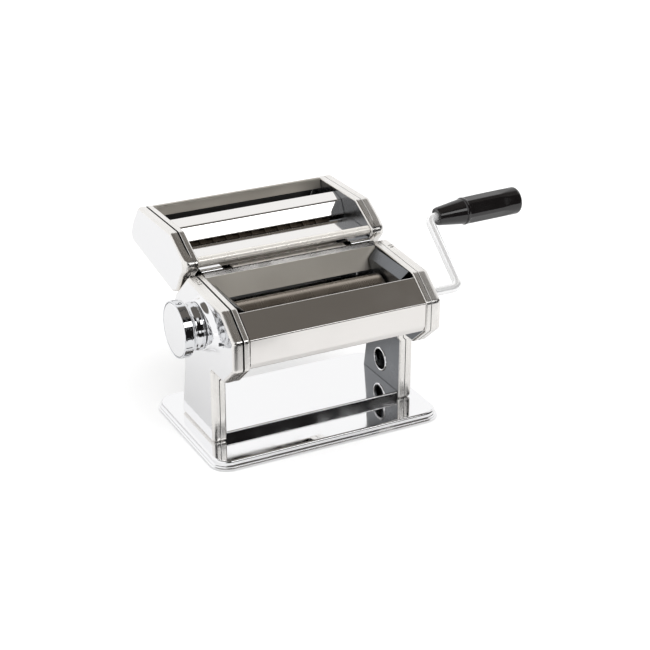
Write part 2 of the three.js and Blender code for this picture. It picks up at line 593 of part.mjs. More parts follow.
const KNOB_SHAFT_END = KNOB_SEAM + 13.1;
function eccentricShaft() {
  const end = OUTER_X - SHEET - 0.2;
  const straight = turnedX([
    [-KNOB_SHAFT_END, 0], [end, 0], [end, SHAFT_R - 0.4], [end - 0.4, SHAFT_R], [-KNOB_SHAFT_END, SHAFT_R],
  ], KNOB_AXIS, 12);
  const cam = rod(JOURNAL_END + 0.6, BLOCK_X1 - 0.4, CAM_R, FRONT_ROLL);
  const [y, z] = [KNOB_AXIS.x, KNOB_AXIS.y + SHAFT_R - 0.9];
  const flat = box(-KNOB_SHAFT_END - 1, -KNOB_SEAM - 1.9, y - 6, y + 6, z, z + 5);
  return cut(join(straight, cam, other(cam)), flat);
}
add('eccentric_shaft', 'turned_steel', eccentricShaft());
const coverInside = OUTER_X - SHEET - 0.1;
const shaftBush = turnedX([
  [coverInside - 3.4, SHAFT_R + 0.25], [coverInside, SHAFT_R + 0.25], [coverInside, 9],
  [coverInside - 1.1, 9], [coverInside - 1.1, 7], [coverInside - 3.4, 7],
], KNOB_AXIS, 12);
add('shaft_bush', 'sintered_bronze', shaftBush);

// ---------------------------------------------------------------- regulator knob
// Along the knob, outward from its seam with the boss.
const out = (depth) => -KNOB_SEAM - depth;
function knob() {
  const shell = turnedX([
    [out(0), 4.3], [out(0), BOSS_R], [out(3), BOSS_R], [out(5.7), BOSS_R - 0.9],
    [out(8.7), BOSS_R - 0.6], [out(10.7), BOSS_R + 1.2], [out(12.3), KNOB_R], [-KNOB_FACE + 1.2, KNOB_R],
    [-KNOB_FACE, KNOB_R - 1], [-KNOB_FACE, KNOB_R - 1.6], [-KNOB_FACE + 1.5, KNOB_R - 1.6],
    [-KNOB_FACE + 1.5, 7], [out(3.3), 7], [out(3.3), 4.3],
  ], KNOB_AXIS, 24);
  const well = ring(out(KNOB_LENGTH - 4), out(-6), 9, BOSS_R - 2.3, KNOB_AXIS);
  const pinCentre = KNOB_AXIS.clone().add(polar(PIN_ANGLE, PIN_CIRCLE));
  const pin = rod(out(KNOB_LENGTH - 3.5), -BOSS_X - 0.15, 1.3, pinCentre, 8);
  return join(cut(shell, well), pin);
}
add('knob', 'chromed_zinc', knob());
const capDisc = turnedX([
  [-KNOB_FACE - 0.6, 0], [-KNOB_FACE - 0.2, KNOB_R - 2.6], [-KNOB_FACE + 0.2, KNOB_R - 1.7],
  [-KNOB_FACE + 1.4, KNOB_R - 1.7], [-KNOB_FACE + 1.4, 0],
], KNOB_AXIS, 24);
add('knob_cap', 'chromed_zinc', capDisc);
const screwFace = KNOB_SHAFT_END + 2.6;
const screwHead = turnedX([
  [-screwFace, 0], [-screwFace, 5.2], [0.4 - screwFace, 5.6], [-KNOB_SHAFT_END - 0.1, 5.6],
  [-KNOB_SHAFT_END - 0.1, 0],
], KNOB_AXIS, 12);
const [screwY, screwZ] = [KNOB_AXIS.x, KNOB_AXIS.y];
const screwSlot = box(-screwFace - 1, 1 - screwFace, screwY - 7, screwY + 7, screwZ - 0.6, screwZ + 0.6);
add('knob_screw', 'turned_steel', cut(screwHead, screwSlot));

class Coil extends THREE.Curve {
  getPoint(t, target = new THREE.Vector3()) {
    const angle = 2 * Math.PI * 3.2 * t;
    const along = out(12.1) + 7.6 * t;
    return target.set(along, KNOB_AXIS.x + 5.6 * Math.cos(angle), KNOB_AXIS.y + 5.6 * Math.sin(angle));
  }
}
add('knob_spring', 'spring_steel', sweep(new Coil(), 0.7, 24, 2));

// ---------------------------------------------------------------- crank
const gripWay = new THREE.Vector3(Math.cos(GRIP_RISE * DEG), 0, Math.sin(GRIP_RISE * DEG));
const shaftEnd = new THREE.Vector3(OUTER_X + CRANK_REACH, REAR_ROLL.x, REAR_ROLL.y);
const gripStart = shaftEnd.clone().add(CRANK_ARM);

// A rod bent at the corners of a line: straights take one step each, bends take `fine`.
class BentRod extends THREE.Curve {
  constructor(corners, bend, fine) {
    super();
    const way = (i) => corners[i + 1].clone().sub(corners[i]).normalize();
    let from = corners[0];
    this.parts = [];
    for (let i = 1; i < corners.length - 1; i += 1) {
      const before = corners[i].clone().addScaledVector(way(i - 1), -bend);
      const after = corners[i].clone().addScaledVector(way(i), bend);
      this.parts.push(new THREE.LineCurve3(from, before));
      const arc = new THREE.QuadraticBezierCurve3(before, corners[i], after);
      for (let k = 0; k < fine; k += 1) {
        const piece = new THREE.LineCurve3(arc.getPoint(k / fine), arc.getPoint((k + 1) / fine));
        this.parts.push(piece);
      }
      from = after;
    }
    this.parts.push(new THREE.LineCurve3(from, corners[corners.length - 1]));
  }

  getUtoTmapping(u) {
    return u;
  }

  getPoint(t, target = new THREE.Vector3()) {
    const place = Math.min(Math.max(t, 0), 1) * this.parts.length;
    const i = Math.min(Math.floor(place), this.parts.length - 1);
    return this.parts[i].getPoint(place - i, target);
  }
}

function crankCurve() {
  const inner = new THREE.Vector3(ROLL_HALF - 1.8, REAR_ROLL.x, REAR_ROLL.y);
  const outer = gripStart.clone().addScaledVector(gripWay, GRIP_LENGTH + 2);
  return new BentRod([inner, shaftEnd, gripStart, outer], CRANK_BEND, 5);
}

// Turned about the grip's own line: profile [along, radius].
function turnedGrip(profile, segments) {
  const points = [...profile, profile[0]].map(([along, radius]) => new THREE.Vector2(radius, along));
  const geometry = new THREE.LatheGeometry(points, segments);
  const side = Y.clone();
  const turn = new THREE.Matrix4().makeBasis(side, gripWay, side.clone().cross(gripWay));
  return toSolid(geometry.applyMatrix4(turn).translate(gripStart.x, gripStart.y, gripStart.z));
}

function crankRod() {
  const [y, z] = [REAR_ROLL.x, REAR_ROLL.y];
  const key = box(DRIVE_END - 9, DRIVE_END - 1, y - 5.6, y + 5.6, z - 1.4, z + 1.4);
  const round = rod(DRIVE_END - 12, DRIVE_END + 2, REAR_JOURNAL_R - 0.3, REAR_ROLL);
  const path = crankCurve();
  return join(sweep(path, CRANK_ROD_R, path.parts.length, 5), key.intersect(round));
}
add('crank_rod', 'chromed_steel', crankRod());

function grip() {
  const solid = turnedGrip([
    [9, 4.4], [8.4, 6.6], [8.8, 8], [10.4, 8.8], [37, 12.6], [37.8, 13.4], [39.4, 13.4], [40.2, 12.9],
    [GRIP_LENGTH - 12, 12.2], [GRIP_LENGTH - 2.4, 11.8], [GRIP_LENGTH - 0.7, 11.1], [GRIP_LENGTH, 9.6],
    [GRIP_LENGTH, 4.4],
  ], 18);
  const flutes = Array.from({ length: 6 }, (_, i) => {
    const scoop = new THREE.SphereGeometry(1, 6, 4).scale(24, 3.4, 3.4);
    scoop.translate(0, 0, 14.6).rotateX(2 * Math.PI * (i + 0.5) / 6);
    const turn = new THREE.Matrix4().makeBasis(gripWay, Y, gripWay.clone().cross(Y));
    const middle = gripStart.clone().addScaledVector(gripWay, (GRIP_LENGTH + 26) / 2);
    return toSolid(scoop.applyMatrix4(turn).translate(middle.x, middle.y, middle.z));
  });
  return cut(solid, ...flutes);
}
add('crank_grip', 'black_plastic', grip());
add('grip_rivet', 'turned_steel', turnedGrip([
  [GRIP_LENGTH + 0.3, 4.3], [GRIP_LENGTH + 0.3, 6], [GRIP_LENGTH + 1.4, 6], [GRIP_LENGTH + 2.4, 4.6],
  [GRIP_LENGTH + 2.6, 0], [GRIP_LENGTH + 2.05, 0], [GRIP_LENGTH + 2.05, 4.3],
], 12));

// ---------------------------------------------------------------- cutter head
const CUT_AXES = [WIDE_FRONT, WIDE_REAR, FINE_FRONT, FINE_REAR];

function cutterFrame() {
  const solid = prismX(rounded(CUT_SIDE), CUT_WEB_X, CUT_FRAME_SEAM);
  const hollow = prismX(rounded(CUT_SIDE, SHEET, 45), CUT_WEB_X + SHEET, CUT_SEAM);
  const bores = CUT_AXES.map((centre) =>
    rod(CUT_WEB_X - 5, CUT_WEB_X + 4, CUT_JOURNAL + 0.3, centre, 12));
  const hookTop = 70.9;
  const hookLine = above([[33, hookTop], [17.4, hookTop], [17.4, 60]]);
  const hook = prismX(sheetOutline(hookLine, SHEET, 1), HOOK_X - 23.9, HOOK_X);
  const armTop = LEG_TOP + hookTop;
  const arm = box(HOOK_X - 0.4, CUT_WEB_X + 0.4, 19, 33, armTop - SHEET, armTop);
  return join(cut(solid, hollow, ...bores), hook, arm);
}
add('cutter_frame_right', 'chromed_steel', cutterFrame());
add('cutter_frame_left', 'chromed_steel', other(cutterFrame()));

function cutterCap() {
  const solid = pressedX(rounded(CUT_SIDE), CUT_SEAM, CUT_OUTER_X, 2.6, 3.8);
  const hollow = join(
    prismX(rounded(CUT_SIDE, SHEET, 45), CUT_SEAM - 5, CUT_OUTER_X - 4.4),
    prismX(rounded(CUT_SIDE, SHEET + 2.6, 45), CUT_SEAM - 1, CUT_OUTER_X - SHEET),
  );
  return cut(solid, hollow);
}
const cutterSockets = [WIDE_FRONT, FINE_REAR].map((centre) =>
  rod(CUT_OUTER_X - 5, CUT_OUTER_X + 5, CUT_JOURNAL + 1, centre));
add('cutter_cap_right', 'chromed_steel', cut(cutterCap(), ...cutterSockets));
add('cutter_cap_left', 'chromed_steel', other(cutterCap()));

const cutSheet = (line, wall) =>
  prismX(sheetOutline(above(line), wall, 1.2), -CUT_PANEL_HALF, CUT_PANEL_HALF);
add('cutter_rear_cover', 'brushed_steel', cutSheet(
  [[120, 86.3], [121.3, 95.8], [127.2, 94.9], [140.4, 76.7], [146.8, 64.9], [144.6, 58.5]], -THIN,
));

// The two strips beside the wide slot are cut back in a curve at their ends.
const relief = (side) => {
  const reach = CUT_PANEL_HALF + 1;
  const corners = [
    [reach, 79, 0.5], [CUT_HALF + 5.5, 72.5, 6], [CUT_HALF + 5.5, 63, 6], [reach - 3, 53, 5],
    [reach, 52.5, 0.5],
  ];
  const solid = prismZ(rounded(corners), LEG_TOP + 65, LEG_TOP + 95);
  return side > 0 ? solid : other(solid);
};
const divider = cutSheet(
  [[100.5, 80.3], [93.7, 92.4], [78.4, 88.8], [70.6, 77.8], [70.6, 72.7]], THIN,
);
add('cutter_divider', 'polished_steel', cut(divider, relief(1), relief(-1)));
const frontStrip = cutSheet(
  [[65.4, 72.3], [65.2, 74.1], [36.4, 76.1], [33.2, 72.7], [33.2, 65.5], [42.4, 46.9], [56, 44.7]],
  THIN,
);
add('cutter_front_sheet', 'polished_steel', cut(frontStrip, relief(1), relief(-1)));
const tubeHalf = CUT_WEB_X - 0.1;
add('cutter_front_tube', 'chromed_steel', ring(-tubeHalf, tubeHalf, 2.6, 4, TUBE_CENTRE, 12));

// Cutting rolls: rings with square shoulders, one roll's rings run in the other's grooves.
const CUT_SHAFT_END = CUT_WEB_X + 5.6;
const CUT_DRIVE_END = CUT_OUTER_X - 2.2;
function cuttingRoll(rings, centre, shift, socket) {
  const pitch = (2 * CUT_HALF) / rings;
  const land = pitch / 2 - 0.12;
  const end = socket ? CUT_DRIVE_END : CUT_DRIVE_END - 1.4;
  const profile = [[-CUT_SHAFT_END, 0], [end, 0], [end, CUT_JOURNAL - 0.3], [end - 0.3, CUT_JOURNAL]];
  profile.push([CUT_HALF + 2, CUT_JOURNAL], [CUT_HALF + 2, CUT_CORE]);
  for (let i = rings - 1; i >= 0; i -= 1) {
    const middle = -CUT_HALF + pitch * (i + 0.25 + 0.5 * shift);
    const [x0, x1] = [middle - land / 2, middle + land / 2];
    profile.push([x1, CUT_CORE], [x1, CUT_R], [x0, CUT_R], [x0, CUT_CORE]);
  }
  profile.push([-CUT_HALF - 2, CUT_CORE], [-CUT_HALF - 2, CUT_JOURNAL], [-CUT_SHAFT_END, CUT_JOURNAL]);
  const roll = turnedX(profile, centre, 8);
  return socket ? cut(roll, rod(CUT_WEB_X - 5, CUT_OUTER_X, CRANK_ROD_R + 0.4, centre, 8)) : roll;
}
add('wide_cutter_front', 'turned_steel', cuttingRoll(WIDE_RINGS, WIDE_FRONT, 0, true));
add('wide_cutter_rear', 'turned_steel', cuttingRoll(WIDE_RINGS, WIDE_REAR, 1, false));
add('fine_cutter_front', 'turned_steel', cuttingRoll(FINE_RINGS, FINE_FRONT, 0, false));
add('fine_cutter_rear', 'turned_steel', cuttingRoll(FINE_RINGS, FINE_REAR, 1, true));

const CUT_GEARS = [
  ['wide_gear_front', WIDE_FRONT, WIDE_TILT, false], ['wide_gear_rear', WIDE_REAR, WIDE_TILT + 180, true],
  ['fine_gear_front', FINE_FRONT, FINE_TILT, false], ['fine_gear_rear', FINE_REAR, FINE_TILT + 180, true],
];
CUT_GEARS.forEach(([name, centre, facing, isGap]) => {
  const x0 = CUT_WEB_X + 3;
  const outline = gearShape(CUT_TEETH, CUT_SPACING, centre, facing, isGap, false);
  const sides = 8;
  const bore = rod(x0 - 5, x0 + CUT_GEAR_WIDTH + 4, CUT_JOURNAL + 0.02, centre, sides);
  add(name, 'gear_steel', cut(prismX(outline, x0, x0 + CUT_GEAR_WIDTH), bore));
});

// Combs: a strip whose fingers lie in the grooves and lift the ribbons out.
function comb(rings, centre, shift, angle, fromEnd) {
  const pitch = (2 * CUT_HALF) / rings;
  const finger = pitch / 2 - 0.9;
  const shape = new THREE.Shape();
  const end = CUT_WEB_X - 0.6;
  const [tipAt, rootAt, outerAt] = [CUT_CORE + 0.35, CUT_R + 2.2, CUT_R + fromEnd];
  shape.moveTo(-end, outerAt);
  shape.lineTo(-end, rootAt);
  for (let i = 0; i < rings; i += 1) {
    const middle = -CUT_HALF + pitch * (i + 0.75 - 0.5 * shift);
    const [x0, x1] = [middle - finger / 2, middle + finger / 2];
    shape.lineTo(x0, rootAt);
    shape.lineTo(x0, tipAt);
    shape.lineTo(x1, tipAt);
    shape.lineTo(x1, rootAt);
  }
  shape.lineTo(end, rootAt);
  shape.lineTo(end, outerAt);
  shape.closePath();
  const way = new THREE.Vector3(0, ...polar(angle).toArray());
  const turn = new THREE.Matrix4().makeBasis(X, way, X.clone().cross(way));
  const geometry = new THREE.ExtrudeGeometry(shape, { depth: 0.8, bevelEnabled: false });
  return toSolid(geometry.applyMatrix4(turn).translate(0, centre.x, centre.y));
}
add('comb_wide_front', 'brushed_steel', comb(WIDE_RINGS, WIDE_FRONT, 0, 236, 6));
add('comb_wide_rear', 'brushed_steel', comb(WIDE_RINGS, WIDE_REAR, 1, 322, 5));
add('comb_fine_front', 'brushed_steel', comb(FINE_RINGS, FINE_FRONT, 0, 236, 5));
add('comb_fine_rear', 'brushed_steel', comb(FINE_RINGS, FINE_REAR, 1, 340, 8));

export default assembly;
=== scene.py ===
"""Hand-cranked pasta roller with its lift-off cutter head: the looks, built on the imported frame.

Every line and radius below is in millimetres, in the frame's own axes: +X towards the crank, +Y to the
back, +Z up, the origin at the middle of the base's footprint. Meshes are scaled to metres as they are made.
"""

import math

import bmesh
import bpy
import numpy as np
from mathutils import Matrix, Vector
from mathutils.geometry import tessellate_polygon


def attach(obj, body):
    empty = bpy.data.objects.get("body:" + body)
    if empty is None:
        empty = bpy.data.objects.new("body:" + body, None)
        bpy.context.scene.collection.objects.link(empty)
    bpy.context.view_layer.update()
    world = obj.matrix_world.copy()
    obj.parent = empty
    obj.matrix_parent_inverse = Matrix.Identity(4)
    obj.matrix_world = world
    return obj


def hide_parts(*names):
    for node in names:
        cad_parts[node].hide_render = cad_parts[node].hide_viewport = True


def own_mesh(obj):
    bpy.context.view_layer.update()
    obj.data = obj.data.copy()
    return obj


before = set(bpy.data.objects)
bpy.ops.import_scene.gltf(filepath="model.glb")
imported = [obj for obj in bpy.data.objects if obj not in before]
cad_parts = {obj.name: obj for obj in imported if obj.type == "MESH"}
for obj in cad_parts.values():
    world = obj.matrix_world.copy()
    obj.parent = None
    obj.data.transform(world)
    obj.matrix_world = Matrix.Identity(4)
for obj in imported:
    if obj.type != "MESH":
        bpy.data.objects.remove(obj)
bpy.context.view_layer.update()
MM = 0.001


def placed(name, data):
    """A new object of the scene, at the origin."""
    made = bpy.data.objects.new(name, data)
    bpy.context.scene.collection.objects.link(made)
    return made


# ---------------------------------------------------------------- surfaces
def rounded(corners, inset=0.0, arc=5, longest=9.0, closed=True):
    """Points (n, 2) along corners [a, b, radius], metal on the left: each corner moves in by the inset along
    its bisector and is rounded by `arc` steps, and straights are parted into steps of at most `longest`."""
    corners = np.array([[*corner, 0.3][:3] for corner in corners], float)
    place, radius = corners[:, :2], corners[:, 2]
    before = place - np.roll(place, 1, 0)
    after = np.roll(place, -1, 0) - place
    if not closed:
        before[0], after[-1] = after[0], before[-1]
    parts = np.maximum(1, np.ceil(np.hypot(*after.T) / longest)).astype(int)
    into = before / np.hypot(*before.T)[:, None]
    out = after / np.hypot(*after.T)[:, None]
    normal = np.stack([-(into + out)[:, 1], (into + out)[:, 0]], 1)
    normal /= np.hypot(*normal.T)[:, None]
    lean = normal[:, 0] * -into[:, 1] + normal[:, 1] * into[:, 0]
    place = place + normal * (inset / lean)[:, None]
    turn = np.arctan2(into[:, 0] * out[:, 1] - into[:, 1] * out[:, 0], (into * out).sum(1))
    half = np.tan(np.abs(turn) / 2)
    room = np.hypot(*(np.roll(place, -1, 0) - place).T)
    reach = np.minimum(np.maximum(0.25, radius - inset * np.sign(turn)) * half,
                       0.45 * np.minimum(room, np.roll(room, 1)))
    bend = reach / np.maximum(half, 1e-9)
    start = place - into * reach[:, None]
    side = np.stack([-into[:, 1], into[:, 0]], 1) * np.sign(turn)[:, None]
    angle = np.linspace(0, 1, arc + 1)[None, :] * np.abs(turn)[:, None]
    arcs = (start[:, None] + side[:, None] * (bend[:, None] * (1 - np.cos(angle)))[..., None]
            + into[:, None] * (bend[:, None] * np.sin(angle))[..., None])
    if not closed:
        arcs[0], arcs[-1] = place[0], place[-1]
    runs = []
    for i, count in enumerate(parts):
        runs.append(arcs[i] if closed or 0 < i < len(parts) - 1 else arcs[i][:1])
        if closed or i < len(parts) - 1:
            share = np.arange(1, count)[:, None] / count
            runs.append(arcs[i][-1] * (1 - share) + arcs[(i + 1) % len(parts)][0] * share)
    return np.concatenate(runs)


def at_x(x, flat):
    """Points (y, z) placed at x, which is one number or one per point."""
    return np.stack([np.broadcast_to(np.asarray(x, float), len(flat)), flat[:, 0], flat[:, 1]], 1)


class Piece:
    """Gathers grids and plates of one piece in millimetres, then welds them into one closed mesh."""

    def __init__(self):
        self.points, self.faces, self.slots, self.count = [], [], [], 0

    def add(self, points, faces, slot):
        """Takes in points, and faces that count from the first of them."""
        self.points.append(np.asarray(points, float).reshape(-1, 3))
        self.faces += (np.asarray(faces) + self.count).tolist()
        self.slots += [slot] * len(faces)
        self.count += len(self.points[-1])
        return self

    def grid(self, rows, wrap=True, slot=0):
        """Quads between rows (m, n, 3) of points; each row closes on itself if it wraps."""
        rows = np.asarray(rows, float)
        m, n = rows.shape[:2]
        i, j = np.meshgrid(np.arange(m - 1), np.arange(n if wrap else n - 1), indexing="ij")
        k = (j + 1) % n
        quads = np.stack([i * n + j, i * n + k, (i + 1) * n + k, (i + 1) * n + j], -1)
        return self.add(rows, quads.reshape(-1, 4), slot)

    def plate(self, loops, slot=0):
        """A flat face within the first loop of points, less the others."""
        loops = [[Vector(point) for point in loop] for loop in loops]
        return self.add(np.concatenate([np.array(loop) for loop in loops]), tessellate_polygon(loops), slot)

    def prism(self, flat, x0, x1, slot=0):
        """An outline (y, z) run from x0 to x1, with flat ends."""
        ends = [at_x(x0, flat), at_x(x1, flat)]
        return self.grid(ends, slot=slot).plate(ends[:1], slot).plate(ends[1:], slot)

    def lathe(self, profile, way, origin, segments=64, slot=0):
        """A profile [along, radius] turned about the line from the origin along `way`: each point runs round
        a circle of its radius in the plane square to the line. A profile that leaves the line is closed."""
        way = np.array(way, float) / np.linalg.norm(way)
        across = np.cross(way, (0.0, 1.0, 0.0))
        across /= np.linalg.norm(across)
        up = np.cross(way, across)
        profile = np.array(profile, float)
        if profile[0, 1] > 0 or profile[-1, 1] > 0:
            profile = np.concatenate([profile, profile[:1]])
        angle = np.linspace(0, 2 * np.pi, segments, endpoint=False)
        spoke = np.cos(angle)[:, None] * across + np.sin(angle)[:, None] * up
        rows = (np.array(origin) + profile[:, 0, None, None] * way
                + profile[:, 1, None, None] * spoke[None])
        return self.grid(rows, slot=slot)

    def make(self, name, body, finishes, sharp=32, mirror=False):
        """Welds the gathered faces, turns them outwards, and lets the piece ride on its body in place of the
        CAD node of the same name. Edges bent by more than `sharp` degrees are shaded as edges."""
        points = np.concatenate(self.points) * MM
        if mirror:
            points = points * (-1, 1, 1)
        mesh = bpy.data.meshes.new(name)
        mesh.from_pydata(points.tolist(), [], self.faces)
        mesh.polygons.foreach_set("material_index", self.slots)
        shell = bmesh.new()
        shell.from_mesh(mesh)
        bmesh.ops.remove_doubles(shell, verts=shell.verts, dist=2e-6)
        bmesh.ops.dissolve_degenerate(shell, edges=shell.edges, dist=1e-7)
        bmesh.ops.recalc_face_normals(shell, faces=shell.faces)
        shell.to_mesh(mesh)
        shell.free()
        mesh.polygons.foreach_set("use_smooth", [True] * len(mesh.polygons))
        mesh.set_sharp_from_angle(angle=math.radians(sharp))
        for finish in finishes if isinstance(finishes, (list, tuple)) else [finishes]:
            mesh.materials.append(finish)
        made = placed(name, mesh)
        weigh = made.modifiers.new("face_weighted_normals", "WEIGHTED_NORMAL")
        weigh.keep_sharp = True
        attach(made, body)
        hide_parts(name)
        return made


# ---------------------------------------------------------------- colours and nodes
def srgb(text):
    """An sRGB hex colour as the linear colour that a shader takes."""
    parts = np.array([int(text[i:i + 2], 16) / 255 for i in (1, 3, 5)])
    linear = np.where(parts <= 0.04045, parts / 12.92, ((parts + 0.055) / 1.055) ** 2.4)
    return (*linear.tolist(), 1.0)


def put(tree, kind, settings=None, **sockets):
    """Adds one node: settings are its own options, sockets its inputs by name or by _number."""
    made = tree.nodes.new("ShaderNode" + kind)
    for option, value in (settings or {}).items():
        setattr(made, option, value)
    for name, value in sockets.items():
        where = int(name[1:]) if name[0] == "_" and name[1:].isdigit() else name.replace("_", " ")
        socket = made.inputs[where]
        if isinstance(value, bpy.types.NodeSocket):
            tree.links.new(value, socket)
        else:
            socket.default_value = value
    return made.outputs


def maths(tree, operation, *values):
    """One arithmetic node on two or three values."""
    sockets = {f"_{i}": value for i, value in enumerate(values)}
    return put(tree, "Math", {"operation": operation}, **sockets)[0]


def material(name):
    """A new material, its node tree and its shader."""
    made = bpy.data.materials.new(name)
    made.use_nodes = True
    return made, made.node_tree, made.node_tree.nodes["Principled BSDF"]


def metal(name, colour, roughness, streak=(0, 0, 0), streak_depth=0.0, smudge=0.04, tint=None,
          tint_share=0.25, wave=0.0, streak_rough=0.16, metallic=1.0):
    """A metal whose polish wanders a little: faint smudges, and brush lines of a pitch in mm per axis or
    a slow swell of the surface. A share `metallic` below 1 gives a bloom, which keeps shaded sides pale."""
    made, tree, shader = material(name)
    shader.inputs["Metallic"].default_value = metallic
    place = put(tree, "TexCoord")["Object"]
    cloud = put(tree, "TexNoise", {"noise_dimensions": "3D"}, Vector=place, Scale=38.0, Detail=3.0)["Fac"]
    low, high = max(0.02, roughness - smudge), roughness + smudge
    rough = put(tree, "MapRange", None, Value=cloud, From_Min=0.35, From_Max=0.68, To_Min=low, To_Max=high)
    rough = rough["Result"]
    base = put(tree, "Mix", {"data_type": "RGBA"}, _0=0.0, _6=srgb(colour), _7=srgb(tint or colour))
    mix = base[2].node
    tree.links.new(maths(tree, "MULTIPLY", cloud, tint_share), mix.inputs[0])
    if streak_depth:
        pitch = [1 / (step * MM) if step else 0.0 for step in streak]
        turned = put(tree, "Mapping", {"vector_type": "POINT"}, Vector=place, Scale=pitch)["Vector"]
        lines = put(tree, "TexNoise", None, Vector=turned, Scale=1.0, Detail=2.0, Roughness=0.6)["Fac"]
        rough = maths(tree, "MULTIPLY_ADD", lines, streak_rough, rough)
        rough = maths(tree, "SUBTRACT", rough, streak_rough / 2)
        bump = put(tree, "Bump", None, Height=lines, Strength=1.0, Distance=streak_depth * MM)["Normal"]
        tree.links.new(bump, shader.inputs["Normal"])
    elif wave:
        swell = put(tree, "TexNoise", None, Vector=place, Scale=24.0, Detail=1.0)["Fac"]
        bump = put(tree, "Bump", None, Height=swell, Strength=1.0, Distance=wave * MM)["Normal"]
        tree.links.new(bump, shader.inputs["Normal"])
    tree.links.new(rough, shader.inputs["Roughness"])
    tree.links.new(mix.outputs[2], shader.inputs["Base Color"])
    return made


def moulded(name, colour, roughness, grain, depth, worn, gloss=1.5):
    """A moulded plastic or rubber: fine grain in the surface, and a paler bloom in patches. `gloss` is the
    refractive index of its skin."""
    made, tree, shader = material(name)
    place = put(tree, "TexCoord")["Object"]
    cloud = put(tree, "TexNoise", None, Vector=place, Scale=60.0, Detail=4.0)["Fac"]
    base = put(tree, "Mix", {"data_type": "RGBA"}, _0=cloud, _6=srgb(colour), _7=srgb(worn))
    speck = put(tree, "TexNoise", None, Vector=place, Scale=1 / (grain * MM), Detail=2.0)["Fac"]
    rough = put(tree, "MapRange", None, Value=cloud, From_Min=0.3, From_Max=0.7,
                To_Min=roughness - 0.05, To_Max=roughness + 0.07)["Result"]
    bump = put(tree, "Bump", None, Height=speck, Strength=1.0, Distance=depth * MM)["Normal"]
    shader.inputs["IOR"].default_value = gloss
    tree.links.new(base[2], shader.inputs["Base Color"])
    tree.links.new(rough, shader.inputs["Roughness"])
    tree.links.new(bump, shader.inputs["Normal"])
    return made


# Bright nickel-chrome plating on pressed steel: a near mirror that takes the room's light and dark.
CHROME = metal("chrome_plated_pressed_steel", "#f7f7f8", 0.06, wave=0.02)
# The same steel's flanges, linished before plating: the reflection is drawn out to a satin gradient.
LINISHED = metal("linished_chrome_flange", "#f3f1ee", 0.27, streak=(0.6, 14, 14), streak_depth=0.003,
                 tint="#e2ded9", tint_share=0.5)
# The pressings' inner sides, plated but never polished: rough, and darkened as painted shade of the machine's
# inside.
SHADED_DULL = metal("unpolished_inside_painted_shade", "#77797c", 0.3, streak=(0.7, 0.7, 0.7), streak_depth=0.004)
# The cutter head's inside, out of the light: rough metal, its shade painted in as a near-black colour.
SHADED_INSIDE = metal("painted_shade_inside", "#2c2b2a", 0.6, streak=(0.7, 0.7, 0.7), streak_depth=0.004)
# Polished stainless sheet: clear reflections, drawn out a little along the rolling direction.
SHEET_STEEL = metal("polished_stainless_sheet", "#e9e6e3", 0.12, streak=(30, 0.5, 0.5), streak_depth=0.001,
                    streak_rough=0.05, smudge=0.03)
# The head's strips, buffed to a mirror: they double the frames' dark inner sides at both ends.
MIRROR_STEEL = metal("buffed_stainless_strip", "#f0eeec", 0.05, streak=(40, 0.6, 0.6), streak_depth=0.0004,
                     streak_rough=0.02, smudge=0.02)
# The crank's bar: drawn, plated and only brushed over, so that it is pale all round, with soft shines.
BAR = metal("satin_plated_bar", "#fdfdfd", 0.2, metallic=0.5)
# The head's front tube: satin steel, creamy white, with one broad highlight and a soft shaded side.
SATIN = metal("satin_steel_tube", "#f3efe8", 0.28, metallic=0.45)
# Stainless sheet brushed down its slope: grey-beige, with no picture in it.
BRUSHED = metal("brushed_stainless_sheet", "#c3beb5", 0.46, streak=(0.5, 24, 24), streak_depth=0.006)
# Hard anodised rollers: brownish grey, ground round and round.
ROLLER = metal("ground_anodised_roller", "#a0978d", 0.27, streak=(0.4, 30, 30), streak_depth=0.001,
               streak_rough=0.06)
# Free-cutting steel as it leaves the lathe: grey with fine turning lines.
TURNED = metal("turned_steel", "#b7b6b3", 0.28, streak=(0.35, 30, 30), streak_depth=0.004)
# Cutting rings: plated steel, given a dark brown grey that paints in the shade of the head's slots.
SHADED_RINGS = metal("shaded_cutting_rings", "#5e564d", 0.3, streak=(0.35, 30, 30), streak_depth=0.003)
# Carbon steel gears: darker, dull, with a film of grease.
GEAR = metal("hobbed_gear_steel", "#86878a", 0.38, streak=(0.8, 0.8, 0.8), streak_depth=0.004)
# Sintered bronze: warm and open-grained, holding oil.
BRONZE = metal("sintered_bronze", "#9a7a4c", 0.45, streak=(0.6, 0.6, 0.6), streak_depth=0.01)
# Chromed zinc casting: thick bright plating, the clearest mirror on the machine.
ZINC = metal("chrome_plated_zinc_casting", "#e4e5e7", 0.05, wave=0.02)
# The knob's end cap: bright plating over fine turning marks, so that its shine is a little spread.
CAP = metal("chrome_plated_turned_cap", "#f4f4f5", 0.16, streak=(0.5, 0.5, 0.5), streak_depth=0.0005)
# Filled engraving: dark and dull.
INK = metal("filled_engraving", "#77797b", 0.4)
# Spring wire: drawn, grey, lightly oiled.
SPRING = metal("drawn_spring_wire", "#77797c", 0.3, streak=(0.5, 0.5, 0.5), streak_depth=0.003)
# Glossy moulded phenolic: near black, with a clear highlight along each edge.
PLASTIC = moulded("moulded_black_phenolic", "#110f0f", 0.12, 0.5, 0.0006, "#1a1818", gloss=1.6)
# Moulded rubber: matt, a grey bloom in places.
RUBBER = moulded("moulded_black_rubber", "#191919", 0.75, 0.35, 0.02, "#272727")

